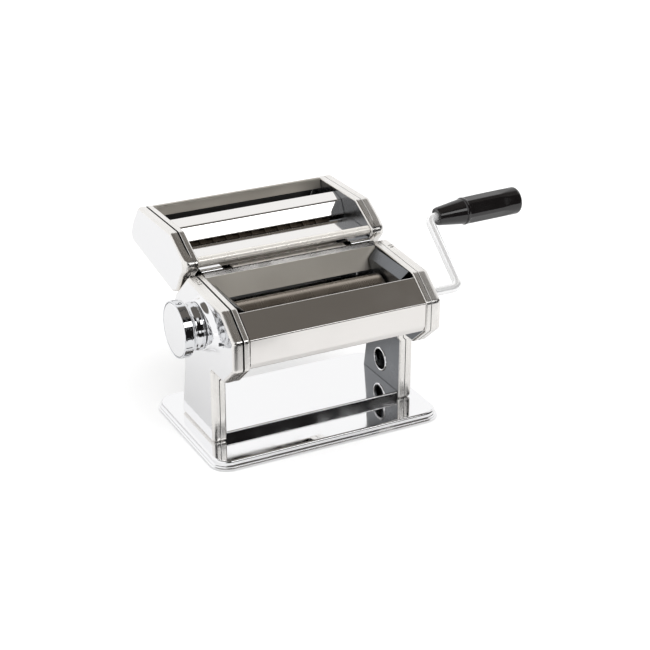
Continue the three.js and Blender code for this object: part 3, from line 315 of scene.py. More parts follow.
FINISH = {
    "chromed_steel": CHROME,
    "polished_steel": SHEET_STEEL,
    "brushed_steel": BRUSHED,
    "roller_steel": ROLLER,
    "turned_steel": TURNED,
    "gear_steel": GEAR,
    "sintered_bronze": BRONZE,
    "chromed_zinc": ZINC,
    "spring_steel": SPRING,
    "black_plastic": PLASTIC,
    "black_rubber": RUBBER,
}
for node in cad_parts.values():
    for place in node.material_slots:
        name = place.material.name.split(".")[0] if place.material else "chromed_steel"
        # The cheeks take the rough inner finish, whose dark colour is painted shade.
        place.material = SHADED_DULL if node.name.startswith("cheek") else FINISH.get(name, CHROME)


# ---------------------------------------------------------------- sizes and lines
ALONG, UP = (1.0, 0.0, 0.0), (0.0, 0.0, 1.0)
# Thickness of the pressings and of the thin sheets.
WALL, THIN = 1.2, 0.9
# Places in x, from the middle: the cover's face, and the cover's and the frame's rim at the seam.
OUTER_X, COVER_SEAM, FRAME_SEAM = 100.0, 91.3, 89.7
# The frame's web above and below the joggle, and the leg's rim.
WEB_X, LEG_WEB_X, LEG_SEAM = 84.5, 86.8, 92.4
# The seam's width on the right, where the covers sit close.
TIGHT = 0.5
# The cutter head's cap, the cap's and the frame's rim at the seam, and the frame's web.
CUT_OUTER_X, CUT_SEAM, CUT_FRAME_SEAM, CUT_WEB_X = 99.6, 92.5, 90.9, 85.4
# Half the width of the panels, the smooth rollers, the ringed rolls and the head's sheets.
PANEL_HALF, ROLL_HALF, CUT_HALF, CUT_PANEL_HALF = 84.1, 72.8, 72.0, 85.0
# Axes as (y, z), and the way in which the rollers open.
FRONT_ROLL, REAR_ROLL = np.array([-20.0, 118.0]), np.array([-3.983, 94.608])
KNOB_AXIS, OPENING = np.array([-20.650, 118.949]), np.array([-0.565, 0.825])
CLAMP_HOLE, TIES = (0.5, 35.0), [(-70.0, 111.0), (33.0, 106.0)]
WIDE_FRONT, WIDE_REAR = (58.5, 142.5), (77.01, 139.24)
FINE_FRONT, FINE_REAR = (98.0, 148.0), (116.51, 144.74)
WIDE_RINGS, FINE_RINGS = 11, 36
# The regulator: its boss, its dial (angles in degrees), its index pin and its spring.
BOSS_R, BOSS_X, KNOB_SEAM = 21.5, 106.0, 106.3
DIAL_R, DIAL_START, DIAL_STEP, DIAL_HOLES = 25.2, 217.0, 20.0, 10
PIN_CIRCLE, PIN_ANGLE = 17.0, 215.0
COIL_R, COIL_WIRE, COIL_TURNS, COIL_FOOT, COIL_LENGTH = 5.6, 0.7, 3.2, 12.1, 7.6
# The crank: the bar's radius, how far before a corner its bend starts, and the grip's line and flats.
BAR_R, BEND_TRIM, FLAT_TURN = 4.35, 8.5, 32.2
GRIP_TILT = math.radians(1.2)
GRIP_WAY = np.array([math.cos(GRIP_TILT), 0.0, math.sin(GRIP_TILT)])
SHAFT_END, GRIP_START = np.array([167.8, *REAR_ROLL]), np.array([171.5, 62.017, 139.608])

# Outlines [y, z, radius of the corner], counter-clockwise as seen from the crank's side. The legs' step
# outwards, the joggle, lies between the two pairs of points round JOGGLE_Z.
JOGGLE_Z = 70.3
SIDE = [
    [14, 149, 5], [-57.8, 145.2, 6], [-83, 126.2, 5], [-83, 99, 5], [-61, 79.5, 5], [-35.9, 79.5, 6],
    [-35.9, 71.8, 0], [-35.9, 68.8, 0], [-35.9, 9, 3], [34.9, 9, 3], [26, 60, 8], [26.45, 68.8, 0],
    [26.6, 71.8, 0], [27, 79.5, 3], [45, 92, 5], [47, 114, 5], [41, 124, 6],
]
CUT_SIDE = [
    [127.5, 175.4, 6], [50.6, 177, 7], [13.9, 157.0, 9], [28.2, 143, 8], [38.8, 125.6, 6],
    [49.6, 121.3, 6], [145.6, 136.4, 5], [148.2, 144.4, 4], [141.8, 156.8, 8],
]
NOSE = (13.6, 156.8)
BOSS_PAD = [
    [-20, 141, 14], [-46, 138.4, 7], [-62, 125.5, 9], [-68.4, 112.4, 6], [-62, 107.6, 8], [-24, 97, 16],
    [-1, 112, 14],
]


def circle(centre, radius, count=32):
    """Points round a circle in (y, z)."""
    angle = np.linspace(0, 2 * np.pi, count, endpoint=False)
    return np.array(centre) + radius * np.stack([np.cos(angle), np.sin(angle)], 1)


def slot_hole(centre, across, along, radius):
    """A rectangle in (y, z) whose second side lies along the way in which the rollers open."""
    side = np.array([OPENING[1], -OPENING[0]])
    corners = [[*(np.array(centre) + s * across * side + t * along * OPENING), radius]
               for s, t in ((-1, -1), (1, -1), (1, 1), (-1, 1))]
    return rounded(corners)


# ---------------------------------------------------------------- pressings
def pressing(piece, corners, outer, inner, holes=(), low_holes=(), face=True, nose=0.0, longest=9.0):
    """A tray pressed from sheet. Its outline runs along rows of [x, x at the leg, inset]: `outer` from the
    edge of its outer face to the rim, `inner` from the rim to the edge of its inner face. A flat face with
    holes closes each end. Below the joggle in the leg the second x holds. Near the nose the rounded edge
    grows by the share `nose`, falling off as a bell curve over 7 mm."""
    base = rounded(corners, longest=longest)
    head = base[:, 1] > (JOGGLE_Z if corners is SIDE else 0)
    first = int(np.argmax(head & ~np.roll(head, 1)))
    head = np.roll(head, -first)
    near = np.exp(-((np.roll(base, -first, 0) - NOSE) ** 2).sum(1) / 98) * nose

    def row(x, low_x, inset, grow=0.0):
        flat = np.roll(rounded(corners, inset, longest=longest), -first, 0)
        wide = np.roll(rounded(corners, inset * 2.4, longest=longest), -first, 0)
        share = (near * grow)[:, None]
        deep = np.where(head, x, low_x) - near * grow * (outer[0][0] - x) * 0.9
        return at_x(deep, flat * (1 - share) + wide * share)

    outside = [row(*place, 1.0) for place in outer]
    inside = [row(*place) for place in inner]
    piece.grid(outside, slot=1).grid([outside[-1], *inside], slot=2)
    count = int(head.sum())
    for edge_row, slot, shown in ((outside[0], 0, face), (inside[-1], 2, True)):
        if shown:
            x, low_x = edge_row[0][0], edge_row[-1][0]
            piece.plate([edge_row[:count]] + [at_x(x, hole) for hole in holes], slot)
            if count < len(edge_row):
                piece.plate([edge_row[count:]] + [at_x(low_x, hole) for hole in low_holes], slot)
                joggle = [edge_row[count - 1], edge_row[count], edge_row[-1], edge_row[0]]
                piece.add(joggle, [[0, 1, 2, 3]], slot)
    for some, end in ((holes, 0), (low_holes, -1)):
        for hole in some:
            piece.grid([at_x(outside[0][end][0], hole), at_x(inside[-1][end][0], hole)], slot=2)
    return outside[0]


def edge(x, low_x, inset, depth, steps=7, start=0.0):
    """A quarter ellipse from a face at x, `start + inset` in, to the side wall `depth` further back."""
    turn = np.linspace(0, np.pi / 2, steps + 1)
    return [[x - depth * (1 - np.cos(t)), low_x - depth * (1 - np.cos(t)), start + inset * (1 - np.sin(t))]
            for t in turn]


def rim(x, low_x, way):
    """The sheet's cut edge with the burr off, `way` being the side of it on which the flange lies."""
    return ([[x + 0.25 * way, low_x + 0.25 * way, 0.0], [x, low_x, 0.25]],
            [[x, low_x, WALL - 0.25], [x + 0.25 * way, low_x + 0.25 * way, WALL]])


def side_frame(name, mirror):
    """The inner side of the machine: its web faces inwards, its flange outwards, the leg joggled out."""
    piece = Piece()
    burr = rim(FRAME_SEAM, LEG_SEAM, -1)
    holes = [slot_hole(KNOB_AXIS, 11.3, 13.45, 0.6), circle(REAR_ROLL, 7.7)]
    holes += [circle(centre, 2.75, 16) for centre in TIES]
    pressing(piece, SIDE, [*edge(WEB_X, LEG_WEB_X, 1.7, -1.7), *burr[0]],
             [*burr[1], *reversed(edge(WEB_X + WALL, LEG_WEB_X + WALL, 0.6, -0.6, 3, WALL))],
             holes, [circle(CLAMP_HOLE, 10.7)])
    hem = [[85.9, 10.4], [86.3, 9.9], [87.4, 9.7], [88.6, 10.0], [89.0, 10.7], [88.6, 11.5], [86.9, 11.7],
           [86.2, 11.3]]
    piece.lathe(rounded([[*point, 0.4] for point in hem], longest=2), ALONG, (0, *CLAMP_HOLE), slot=3)
    piece.make(name, "machine", [SHADED_DULL, LINISHED, SHADED_DULL, CHROME], mirror=mirror)


def outer_cover(piece, face=True, longest=9.0, holes=(), seam=COVER_SEAM):
    """A side cover: a tray whose face looks outwards and whose flange meets the frame's at the seam."""
    burr = rim(seam, LEG_SEAM + 0.6, 1)
    return pressing(piece, SIDE, [*edge(OUTER_X, OUTER_X, 2.9, 4.6, 10), *burr[0]],
                    [*burr[1], [OUTER_X - 5.6, OUTER_X - 5.6, WALL],
                     *reversed(edge(OUTER_X - WALL, OUTER_X - WALL, 2.9, 4.2, 4, WALL))],
                    holes, face=face, longest=longest)


def stamped_tab(piece):
    """The U stamped into the top flange, where the head's hook rests: a half circle between two straights."""
    turn = np.linspace(-np.pi / 2, np.pi / 2, 15)
    x = [92.6, *(95.0 + 1.9 * np.cos(turn)), 92.6]
    y = np.array([-1.9, *(1.9 * np.sin(turn)), 1.9]) - 1.0
    z = 148.26 + 0.053 * y
    lean = np.array([0.0, -0.053, 0.9986])
    sweep(piece, np.stack([x, y, z], 1), lean, 0.6, 0.1, 1)


def cover_right():
    """The right cover has the crank's hole, with a lip pressed up round it."""
    piece = Piece()
    outer_cover(piece, holes=[circle(REAR_ROLL, 8.6, 48)], seam=FRAME_SEAM + TIGHT)
    lip = [[98.0, 7.6, 0.2], [100.5, 7.6, 0.8], [100.5, 9.4, 0.8], [99.9, 9.9, 0.4], [98.6, 9.4, 0.2],
           [98.0, 9.0, 0.2]]
    piece.lathe(rounded(lip), ALONG, (0, *REAR_ROLL), slot=1)
    stamped_tab(piece)
    piece.make("cover_right", "machine", [CHROME, LINISHED, SHADED_DULL])


def cover_left():
    """The left cover swells into the regulator's boss. Along every ray from the knob's axis the face rises
    from the pad's outline to the boss as 1 - (10 s^3 - 15 s^4 + 6 s^5), which is level at both ends."""
    piece = Piece()
    outside = outer_cover(piece, face=False, longest=2.5)
    ray = outside[:, 1:] - KNOB_AXIS
    far = np.hypot(*ray.T)
    way = ray / far[:, None]
    angle = np.arctan2(way[:, 1], way[:, 0])
    pad = rounded(BOSS_PAD, 0, 8, 1.5) - KNOB_AXIS
    pad_angle = np.arctan2(pad[:, 1], pad[:, 0])
    order = np.argsort(pad_angle)
    turn = np.linspace(-np.pi, np.pi, 720, endpoint=False)
    even = np.interp(turn, pad_angle[order], np.hypot(*pad.T)[order], period=2 * np.pi)
    even = np.maximum(even, BOSS_R + 3.5)
    bell = np.exp(-(np.minimum(turn + np.pi, np.pi - turn) / 0.14) ** 2 / 2)
    even = np.fft.irfft(np.fft.rfft(even) * np.fft.rfft(bell / bell.sum()), 720)
    reach = np.interp(angle, turn, even, period=2 * np.pi)
    top = BOSS_X - 0.25
    rows = [(4.3, OUTER_X - 2.0), (4.3, BOSS_X - 0.2), (4.6, BOSS_X), (BOSS_R - 0.5, BOSS_X), (BOSS_R, top)]
    surface = [at_x(x, KNOB_AXIS + radius * way) for radius, x in rows]
    share = np.linspace(0, 1, 25)[1:]
    fall = 1 - share ** 3 * (10 - 15 * share + 6 * share ** 2)
    for s, height in zip(share, fall):
        radius = BOSS_R + (reach - BOSS_R) * s
        surface.append(at_x(OUTER_X + (top - OUTER_X) * height, KNOB_AXIS + radius[:, None] * way))
    surface += [outside * k + surface[-1] * (1 - k) for k in (0.1, 0.5, 0.95)]
    surface.append(outside)
    piece.grid(surface, slot=0)
    piece.plate([surface[0]], 2)
    stamped_tab(piece)
    arrow = rounded([[-57.2, 113.6, 0.3], [-57.2, 117.2, 0.3], [-61.0, 115.4, 0.3]][::-1])
    piece.prism(arrow, 100.9, 101.95, 3)
    piece.make("cover_left", "machine", [CHROME, LINISHED, SHADED_DULL, INK], mirror=True)


def cutter_side(name, mirror):
    """The cutter head's inner side, with the sheet hook that rests on the machine's top."""
    piece = Piece()
    burr = rim(CUT_FRAME_SEAM, CUT_FRAME_SEAM, -1)
    bores = [circle(centre, 5.7, 32) for centre in (WIDE_FRONT, WIDE_REAR, FINE_FRONT, FINE_REAR)]
    pressing(piece, CUT_SIDE, [*edge(CUT_WEB_X, CUT_WEB_X, 1.7, -1.7), *burr[0]],
             [*burr[1], *reversed(edge(CUT_WEB_X + WALL, CUT_WEB_X + WALL, 0.6, -0.6, 3, WALL))], bores)
    bent_sheet(piece, [[33, 150.4], [17.4, 150.4], [17.4, 139.5]], WALL, (64.0, 83.9), 2.2, slot=3)
    piece.make(name, "cutter_head", [SHADED_DULL, LINISHED, SHADED_DULL, CHROME], mirror=mirror)


def cutter_cap(name, mirror, sockets):
    """The cutter head's outer cover, its edge rounder at the nose."""
    piece = Piece()
    seam = CUT_SEAM if mirror else CUT_FRAME_SEAM + TIGHT
    burr = rim(seam, seam, 1)
    deep = CUT_OUTER_X - WALL
    inner = [*burr[1], [CUT_OUTER_X - 5.4, CUT_OUTER_X - 5.4, WALL],
             *reversed(edge(deep, deep, 2.9, 4.0, 4, WALL))]
    pressing(piece, CUT_SIDE, [*edge(CUT_OUTER_X, CUT_OUTER_X, 2.2, 3.2, 10), *burr[0]], inner,
             [circle(centre, 6.4, 40) for centre in sockets], nose=1.0)
    piece.make(name, "cutter_head", [CHROME, LINISHED, SHADED_DULL], mirror=mirror)


# ---------------------------------------------------------------- bent sheets
def bent_sheet(piece, line, wall, half, bend=1.8, longest=8.0, slot=0, inside=None, top=999.0):
    """A bent sheet: the rounded line and its copy one wall away along the line's own normals, both run
    across the machine. `half` is a number, a pair (from, to), or a function of y. The far side takes the
    finish `inside`, and the near side the next finish from the height `top` on."""
    near = rounded([[a, b, bend] for a, b in line], arc=6, longest=longest, closed=False)
    tangent = np.gradient(near, axis=0)
    tangent /= np.hypot(*tangent.T)[:, None]
    far = near + wall * np.stack([-tangent[:, 1], tangent[:, 0]], 1)
    high = np.asarray(half(near[:, 0]) if callable(half) else half if np.isscalar(half) else half[1])
    high = np.broadcast_to(high, len(near))
    low = -high if callable(half) or np.isscalar(half) else np.broadcast_to(half[0], len(near))
    rows = np.stack([at_x(high, near), at_x(low, near), at_x(low, far), at_x(high, far)], 1)
    piece.grid(rows[:, :2][near[:, 1] <= top], wrap=False, slot=slot)
    if near[:, 1].max() > top:
        piece.grid(rows[:, :2][int((near[:, 1] <= top).sum()) - 1:], wrap=False, slot=slot + 1)
    piece.grid(rows[:, 1:3], wrap=False, slot=slot).grid(rows[:, [3, 0]], wrap=False, slot=slot)
    piece.grid(rows[:, 2:], wrap=False, slot=slot if inside is None else inside)
    piece.add(rows[0], [[0, 1, 2, 3]], slot).add(rows[-1], [[0, 1, 2, 3]], slot)
    return piece


def front_panel():
    """The front: a steep slope, an upright band and a return below, with the upper edge rolled round."""
    line = [[-58.9, 138.4], [-59.6, 142.9], [-82.6, 125.9], [-82.6, 103.7], [-79.6, 98.2], [-74, 98.2]]
    piece = bent_sheet(Piece(), line, WALL, PANEL_HALF, 1.6, inside=1)
    piece.make("front_panel", "machine", [SHEET_STEEL, SHADED_DULL])


def hopper_guide():
    """The hopper's sloping back: its top strip is notched at both ends for the cutter head's hooks."""
    line = [[2.2, 127.6], [10.1, 146.6], [12.9, 150.6], [20, 150.8]]
    piece = bent_sheet(Piece(), line, -THIN, lambda y: np.where(y > 12.9, 55.9, PANEL_HALF), 1.4, 0.7,
                       top=146.7)
    piece.make("hopper_guide", "machine", [BRUSHED, SHEET_STEEL])


def back_panel():
    """The back, bent from the hopper's rear edge down and in under the rollers."""
    line = [[21.6, 141.2], [40.2, 123.8], [46, 114.2], [44.2, 92.6], [36, 86.8]]
    piece = bent_sheet(Piece(), line, -WALL, PANEL_HALF, 2.6, inside=1)
    piece.make("back_panel", "machine", [SHEET_STEEL, SHADED_DULL])


def crosspiece():
    """The platform that joins the legs above the base."""
    line = [[32.9, 9.0], [32.9, 16.2], [-33.6, 16.2], [-33.6, 9.0]]
    bent_sheet(Piece(), line, WALL, 86.5, 1.4).make("crosspiece", "machine", CHROME)


def cutter_sheets():
    """The three strips across the head, each a bent sheet, and the round tube in front of them."""
    line = [[120, 165.8], [121.3, 175.3], [127.2, 174.4], [140.4, 156.2], [146.8, 144.4], [144.6, 138]]
    # The rear cover's far side takes the near-black painted shade of the head's inside.
    piece = bent_sheet(Piece(), line, -THIN, CUT_PANEL_HALF, 1.6, inside=1)
    piece.make("cutter_rear_cover", "cutter_head", [BRUSHED, SHADED_INSIDE])
    line = [[100.5, 159.8], [93.7, 171.9], [78.4, 168.3], [71.9, 156.6], [71.9, 151.6]]
    bent_sheet(Piece(), line, THIN, CUT_PANEL_HALF, 2.6).make("cutter_divider", "cutter_head", MIRROR_STEEL)
    line = [[60.8, 154.2], [60.4, 156.1], [36.4, 155.6], [33.2, 152.2], [33.2, 145], [42.4, 126.4],
            [56, 124.2]]
    piece = bent_sheet(Piece(), line, THIN, CUT_PANEL_HALF, 1.3)
    piece.make("cutter_front_sheet", "cutter_head", MIRROR_STEEL)
    tube = rounded([[-85.3, 2.6, 0.3], [85.3, 2.6, 0.3], [85.3, 4, 0.5], [-85.3, 4, 0.5]], longest=400)
    Piece().lathe(tube, ALONG, (0, 25, 156.6), 40).make("cutter_front_tube", "cutter_head", SATIN)


def scrapers():
    """The blades under the rollers: a flat blade whose tip follows the roller, with a lip at its foot."""
    for tag, centre, angle, blade, length, lip in (
        ("front", FRONT_ROLL, 218, 212, 12.5, 262), ("rear", REAR_ROLL, 203, 210, 12, 150),
    ):
        turn = np.radians([angle, blade, lip])
        steps = np.stack([np.cos(turn), np.sin(turn)], 1) * [[14.4], [length], [5]]
        line = (centre + np.cumsum(steps, 0)).tolist()
        bent_sheet(Piece(), line, THIN, 74.2, 1.2).make("scraper_" + tag, "machine", BRUSHED)


# ---------------------------------------------------------------- base
def base_plate():
    """A pressed tray: from the rounded top edge down the wall, out over a bead, to the flange's rim."""
    corners = [[-113.1, -73.3, 17], [113.1, -73.3, 17], [113.1, 73.3, 17], [-113.1, 73.3, 17]]
    turn = np.linspace(0, np.pi / 2, 8)
    rows = [[9 - 2.2 * (1 - math.cos(t)), 2.6 + 2.0 * (1 - math.sin(t))] for t in turn]
    rows += [[5.0, 2.6], [4.55, 2.3], [4.4, 1.8], [4.15, 1.35], [3.8, 1.2], [3.2, 1.2], [2.95, 1.05],
             [2.75, 0.7], [2.65, 0.3], [2.4, 0.0], [1.5, 0.0], [1.2, 0.3], [1.2, 3.6], [1.6, 3.8], [6.6, 3.8],
             [7.5, 4.3], [7.8, 5.2]]
    loops = []
    for z, inset in rows:
        flat = rounded(corners, inset, 10, 12)
        loops.append(np.stack([flat[:, 0], flat[:, 1], np.full(len(flat), z)], 1))
    piece = Piece().grid(loops).plate(loops[:1]).plate(loops[-1:])
    piece.make("base_plate", "machine", CHROME)


def feet():
    """Four rubber discs, flat underneath with a rounded lower edge, under the base's corners."""
    for tag, side_x, side_y in (("fl", -1, -1), ("fr", 1, -1), ("bl", -1, 1), ("br", 1, 1)):
        line = [[0, 0, 0], [0, 6.9, 0.8], [0.9, 7.6, 0.5], [7.8, 7.2, 0.3], [7.8, 0, 0]]
        piece = Piece().lathe(rounded(line, closed=False), UP, (side_x * 95.9, side_y * 56.1, 0), 40)
        piece.make("foot_" + tag, "machine", RUBBER)


# ---------------------------------------------------------------- turned pieces
def rollers():
    """The sheeting rollers: a ground barrel with broken edges between its journals. The rear roller's right
    journal is bored out for the crank's bar."""
    ends = {"front": (FRONT_ROLL, 8.0, 90.0, 90.0), "rear": (REAR_ROLL, 6.0, 90.0, 98.0)}
    for tag, (centre, journal, left, right) in ends.items():
        line = [[-left, 0, 0], [-left, journal, 0.5], [-ROLL_HALF, journal, 0.3], [-ROLL_HALF, 14, 0.6],
                [ROLL_HALF, 14, 0.6], [ROLL_HALF, journal, 0.3], [right, journal, 0.5], [right, 0, 0]]
        if tag == "rear":
            line[-1:] = [[right, 4.6, 0.2], [70.2, 4.6, 0.2], [70.2, 0, 0]]
        piece = Piece().lathe(rounded(line, closed=False, longest=400), ALONG, (0, *centre), 96)
        piece.make(tag + "_roller", tag + "_roll", ROLLER)


def cutting_rolls():
    """Rings with square shoulders: one roll's rings run in the other's grooves. The driven roll of each pair
    is bored out for the crank's bar."""
    for pair, rings, axes in (("wide", WIDE_RINGS, (WIDE_FRONT, WIDE_REAR)),
                              ("fine", FINE_RINGS, (FINE_FRONT, FINE_REAR))):
        for shift, tag, centre in ((0, "front", axes[0]), (1, "rear", axes[1])):
            pitch = 2 * CUT_HALF / rings
            land = pitch / 2 - 0.12
            middle = -CUT_HALF + pitch * (np.arange(rings) + 0.25 + 0.5 * shift)
            steps = np.array([[-land / 2, 8.3], [-land / 2, 9.8], [0.2 - land / 2, 10], [land / 2 - 0.2, 10],
                              [land / 2, 9.8], [land / 2, 8.3]])
            ring = steps[None] + np.stack([middle, np.zeros(rings)], 1)[:, None]
            driven = (pair, tag) in (("wide", "front"), ("fine", "rear"))
            end = [[96.0, 5.4], [96.0, 0]]
            if driven:
                end = [[97.1, 5.4], [97.4, 5.2], [97.4, 4.6], [81.0, 4.6], [81.0, 0]]
            line = np.concatenate([[[-91, 0], [-91, 5.4], [-CUT_HALF - 2, 5.4], [-CUT_HALF - 2, 8.3]],
                                   ring.reshape(-1, 2), [[CUT_HALF + 2, 8.3], [CUT_HALF + 2, 5.4]], end])
            name = f"{pair}_cutter_{tag}"
            # The rings carry the painted shade of the slots they sit in.
            Piece().lathe(line, ALONG, (0, *centre), 40).make(name, f"{pair}_{tag}", SHADED_RINGS)


def combs():
    """Strips whose fingers lie in the grooves: the edge steps between the root and the tip of the fingers."""
    for pair, rings, tag, centre, shift, angle, reach in (
        ("wide", WIDE_RINGS, "front", WIDE_FRONT, 0, 236, 6),
        ("wide", WIDE_RINGS, "rear", WIDE_REAR, 1, 322, 5),
        ("fine", FINE_RINGS, "front", FINE_FRONT, 0, 236, 5),
        ("fine", FINE_RINGS, "rear", FINE_REAR, 1, 340, 8),
    ):
        pitch = 2 * CUT_HALF / rings
        finger = pitch / 2 - 0.5
        middle = -CUT_HALF + pitch * (np.arange(rings) + 0.75 - 0.5 * shift)
        step = np.array([[-finger / 2, 12.2], [-finger / 2, 8.65], [finger / 2, 8.65], [finger / 2, 12.2]])
        teeth = (step[None] + np.stack([middle, np.zeros(rings)], 1)[:, None]).reshape(-1, 2)
        flat = np.concatenate([[[-84.8, 10 + reach], [-84.8, 12.2]], teeth,
                               [[84.8, 12.2], [84.8, 10 + reach]]])
        turn = math.radians(angle)
        out = np.array([math.cos(turn), math.sin(turn)])
        over = np.array([-out[1], out[0]])
        loops = [np.concatenate([flat[:, :1], np.array(centre) + flat[:, 1:] * out + over * lift], 1)
                 for lift in (0.0, 0.8)]
        name = f"comb_{pair}_{tag}"
        Piece().grid(loops).plate(loops[:1]).plate(loops[1:]).make(name, "cutter_head", BRUSHED)


def tie_rods():
    """A round bar shouldered at each frame, with a hexagon nut outside."""
    for tag, centre in zip(("front", "rear"), TIES):
        bar = rounded([[-92.0, 0, 0], [-92.0, 2.5, 0.4], [-84.4, 2.5, 0.1], [-84.4, 3.5, 0.3],
                       [84.4, 3.5, 0.3], [84.4, 2.5, 0.1], [92.0, 2.5, 0.4], [92.0, 0, 0]],
                      closed=False, longest=400)
        piece = Piece().lathe(bar, ALONG, (0, *centre), 32)
        for side in (-1, 1):
            nut = [[85.7, 2.4], [85.7, 4.6], [89.5, 4.6], [89.9, 4.1], [89.9, 2.4]]
            piece.lathe([[side * along, radius] for along, radius in nut], ALONG, (0, *centre), 6)
        piece.make("tie_rod_" + tag, "machine", TURNED)


# ---------------------------------------------------------------- regulator
def knob():
    """The knob is turned about its shaft: a bead at the seam, a waist for the fingers, then a wide flange."""
    line = [[0, 4.3, 0.2], [0, 20.9, 0.3], [0.3, 21.5, 0.3], [1.3, 21.5, 0.3], [1.6, 21.0, 0.2],
            [2.0, 21.5, 0.4], [4.2, 21.4, 3], [7.4, 20.2, 4], [10.4, 21.4, 3], [12.1, DIAL_R, 1.4],
            [20.7, DIAL_R, 1.0], [20.7, 23.9, 0.3], [19.3, 23.7, 0.2], [19.3, 7, 0.3], [3.3, 7, 0.3],
            [3.3, 4.3, 0.3]]
    piece = Piece().lathe(rounded(line, arc=6), (-1, 0, 0), (-KNOB_SEAM, *KNOB_AXIS), 128)
    turn = math.radians(PIN_ANGLE)
    pin_centre = KNOB_AXIS + PIN_CIRCLE * np.array([math.cos(turn), math.sin(turn)])
    pin = [[-0.15, 0, 0], [-0.15, 1.3, 0.4], [4, 1.3, 0.3], [4, 0, 0]]
    piece.lathe(rounded(pin, closed=False), (-1, 0, 0), (-KNOB_SEAM, *pin_centre), 24)
    piece.make("knob", "knob_body", ZINC)
    cap = [[19.4, 0, 0], [19.4, 23.4, 0.2], [20.5, 23.4, 0.5], [20.9, 22.4, 2.0], [21.3, 0, 0]]
    piece = Piece().lathe(rounded(cap, closed=False, longest=3), (-1, 0, 0), (-KNOB_SEAM, *KNOB_AXIS), 128)
    piece.make("knob_cap", "knob_body", CAP)


def knob_spring():
    """A coil of round wire about the knob's axis: along a helix, the way along the axis grows in step with
    the angle. In the machine it shortens between the screw's head and the knob's floor as the knob is pulled;
    here it is made at one length."""
    share = np.linspace(0, 1, 140)
    angle = 2 * np.pi * COIL_TURNS * share
    x = -KNOB_SEAM - COIL_FOOT + COIL_LENGTH * share
    ring = KNOB_AXIS + COIL_R * np.stack([np.cos(angle), np.sin(angle)], 1)
    piece = Piece()
    sweep(piece, at_x(x, ring), np.array(ALONG), COIL_WIRE, 0.1)
    coil = piece.make("knob_spring", "regulator", SPRING)
    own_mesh(coil)


def dial_numbers():
    """Plain numbers round the flange, one for each hole of the index pin. A flat number's width is bent
    round the flange's circle, width over radius being the angle, and its height lies along the axis."""
    for value in range(DIAL_HOLES):
        text = bpy.data.curves.new("number", "FONT")
        text.body = str(value)
        text.size = 8.0 * MM
        text.extrude = 0.12 * MM
        text.align_x = text.align_y = "CENTER"
        holder = placed("number", text)
        solid = holder.evaluated_get(bpy.context.evaluated_depsgraph_get())
        mesh = bpy.data.meshes.new_from_object(solid)
        bpy.data.objects.remove(holder)
        flat = np.empty(3 * len(mesh.vertices))
        mesh.vertices.foreach_get("co", flat)
        flat = flat.reshape(-1, 3) / MM
        angle = math.radians(DIAL_START - DIAL_STEP * value) - flat[:, 0] / DIAL_R
        high = DIAL_R + flat[:, 2]
        place = np.stack([-KNOB_SEAM - 16.6 - flat[:, 1], KNOB_AXIS[0] + high * np.cos(angle),
                          KNOB_AXIS[1] + high * np.sin(angle)], 1) * MM
        mesh.vertices.foreach_set("co", place.ravel())
        mesh.materials.clear()
        mesh.materials.append(INK)
        mesh.name = f"dial_number_{value}"
        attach(placed(mesh.name, mesh), "knob_body")


# ---------------------------------------------------------------- crank
def sweep(piece, path, side, radius, broken, slot=0):
    """A round bar along a path: circles square to it, one of whose axes is `side`, which is square to the
    plane in which the path bends, and both ends chamfered by `broken`."""
    way = np.gradient(path, axis=0)
    way[0], way[-1] = path[1] - path[0], path[-1] - path[-2]
    way /= np.linalg.norm(way, axis=1)[:, None]
    across = np.cross(way, side)
    angle = np.linspace(0, 2 * np.pi, 40, endpoint=False)
    spoke = np.cos(angle)[None, :, None] * across[:, None] + np.sin(angle)[None, :, None] * side
    last = len(path) - 1
    ends = [(0, 0.0, radius - broken), (0, broken, radius), *[(i, 0.0, radius) for i in range(1, last)],
            (last, -broken, radius), (last, 0.0, radius - broken)]
    rows = [path[i] + way[i] * shift + reach * spoke[i] for i, shift, reach in ends]
    piece.grid(rows, slot=slot).plate(rows[:1], slot).plate(rows[-1:], slot)


def crank_rod():
    """A round rod bent twice: straights joined by parabolas, carried on circles square to the path."""
    stops = [np.array([71.2, *REAR_ROLL]), SHAFT_END, GRIP_START, GRIP_START + 102.6 * GRIP_WAY]
    path = [stops[0]]
    for before, corner, after in zip(stops, stops[1:], stops[2:]):
        start = corner - BEND_TRIM * (corner - before) / np.linalg.norm(corner - before)
        end = corner + BEND_TRIM * (after - corner) / np.linalg.norm(after - corner)
        t = np.linspace(0, 1, 13)[:, None]
        path.append((1 - t) ** 2 * start + 2 * t * (1 - t) * corner + t ** 2 * end)
    path.append(stops[3])
    path = np.vstack(path)
    side = np.cross(stops[1] - stops[0], stops[2] - stops[1])
    piece = Piece()
    sweep(piece, path, side / np.linalg.norm(side), BAR_R, 0.5)
    key = [[89.2, -5.4], [96.6, -5.4], [96.6, 5.4], [89.2, 5.4]]
    blade = [np.array([[x, REAR_ROLL[0] + y, REAR_ROLL[1] + z] for x, y in key]) for z in (-1.4, 1.4)]
    piece.grid(blade).plate(blade[:1]).plate(blade[1:])
    piece.make("crank_rod", "crank", BAR)


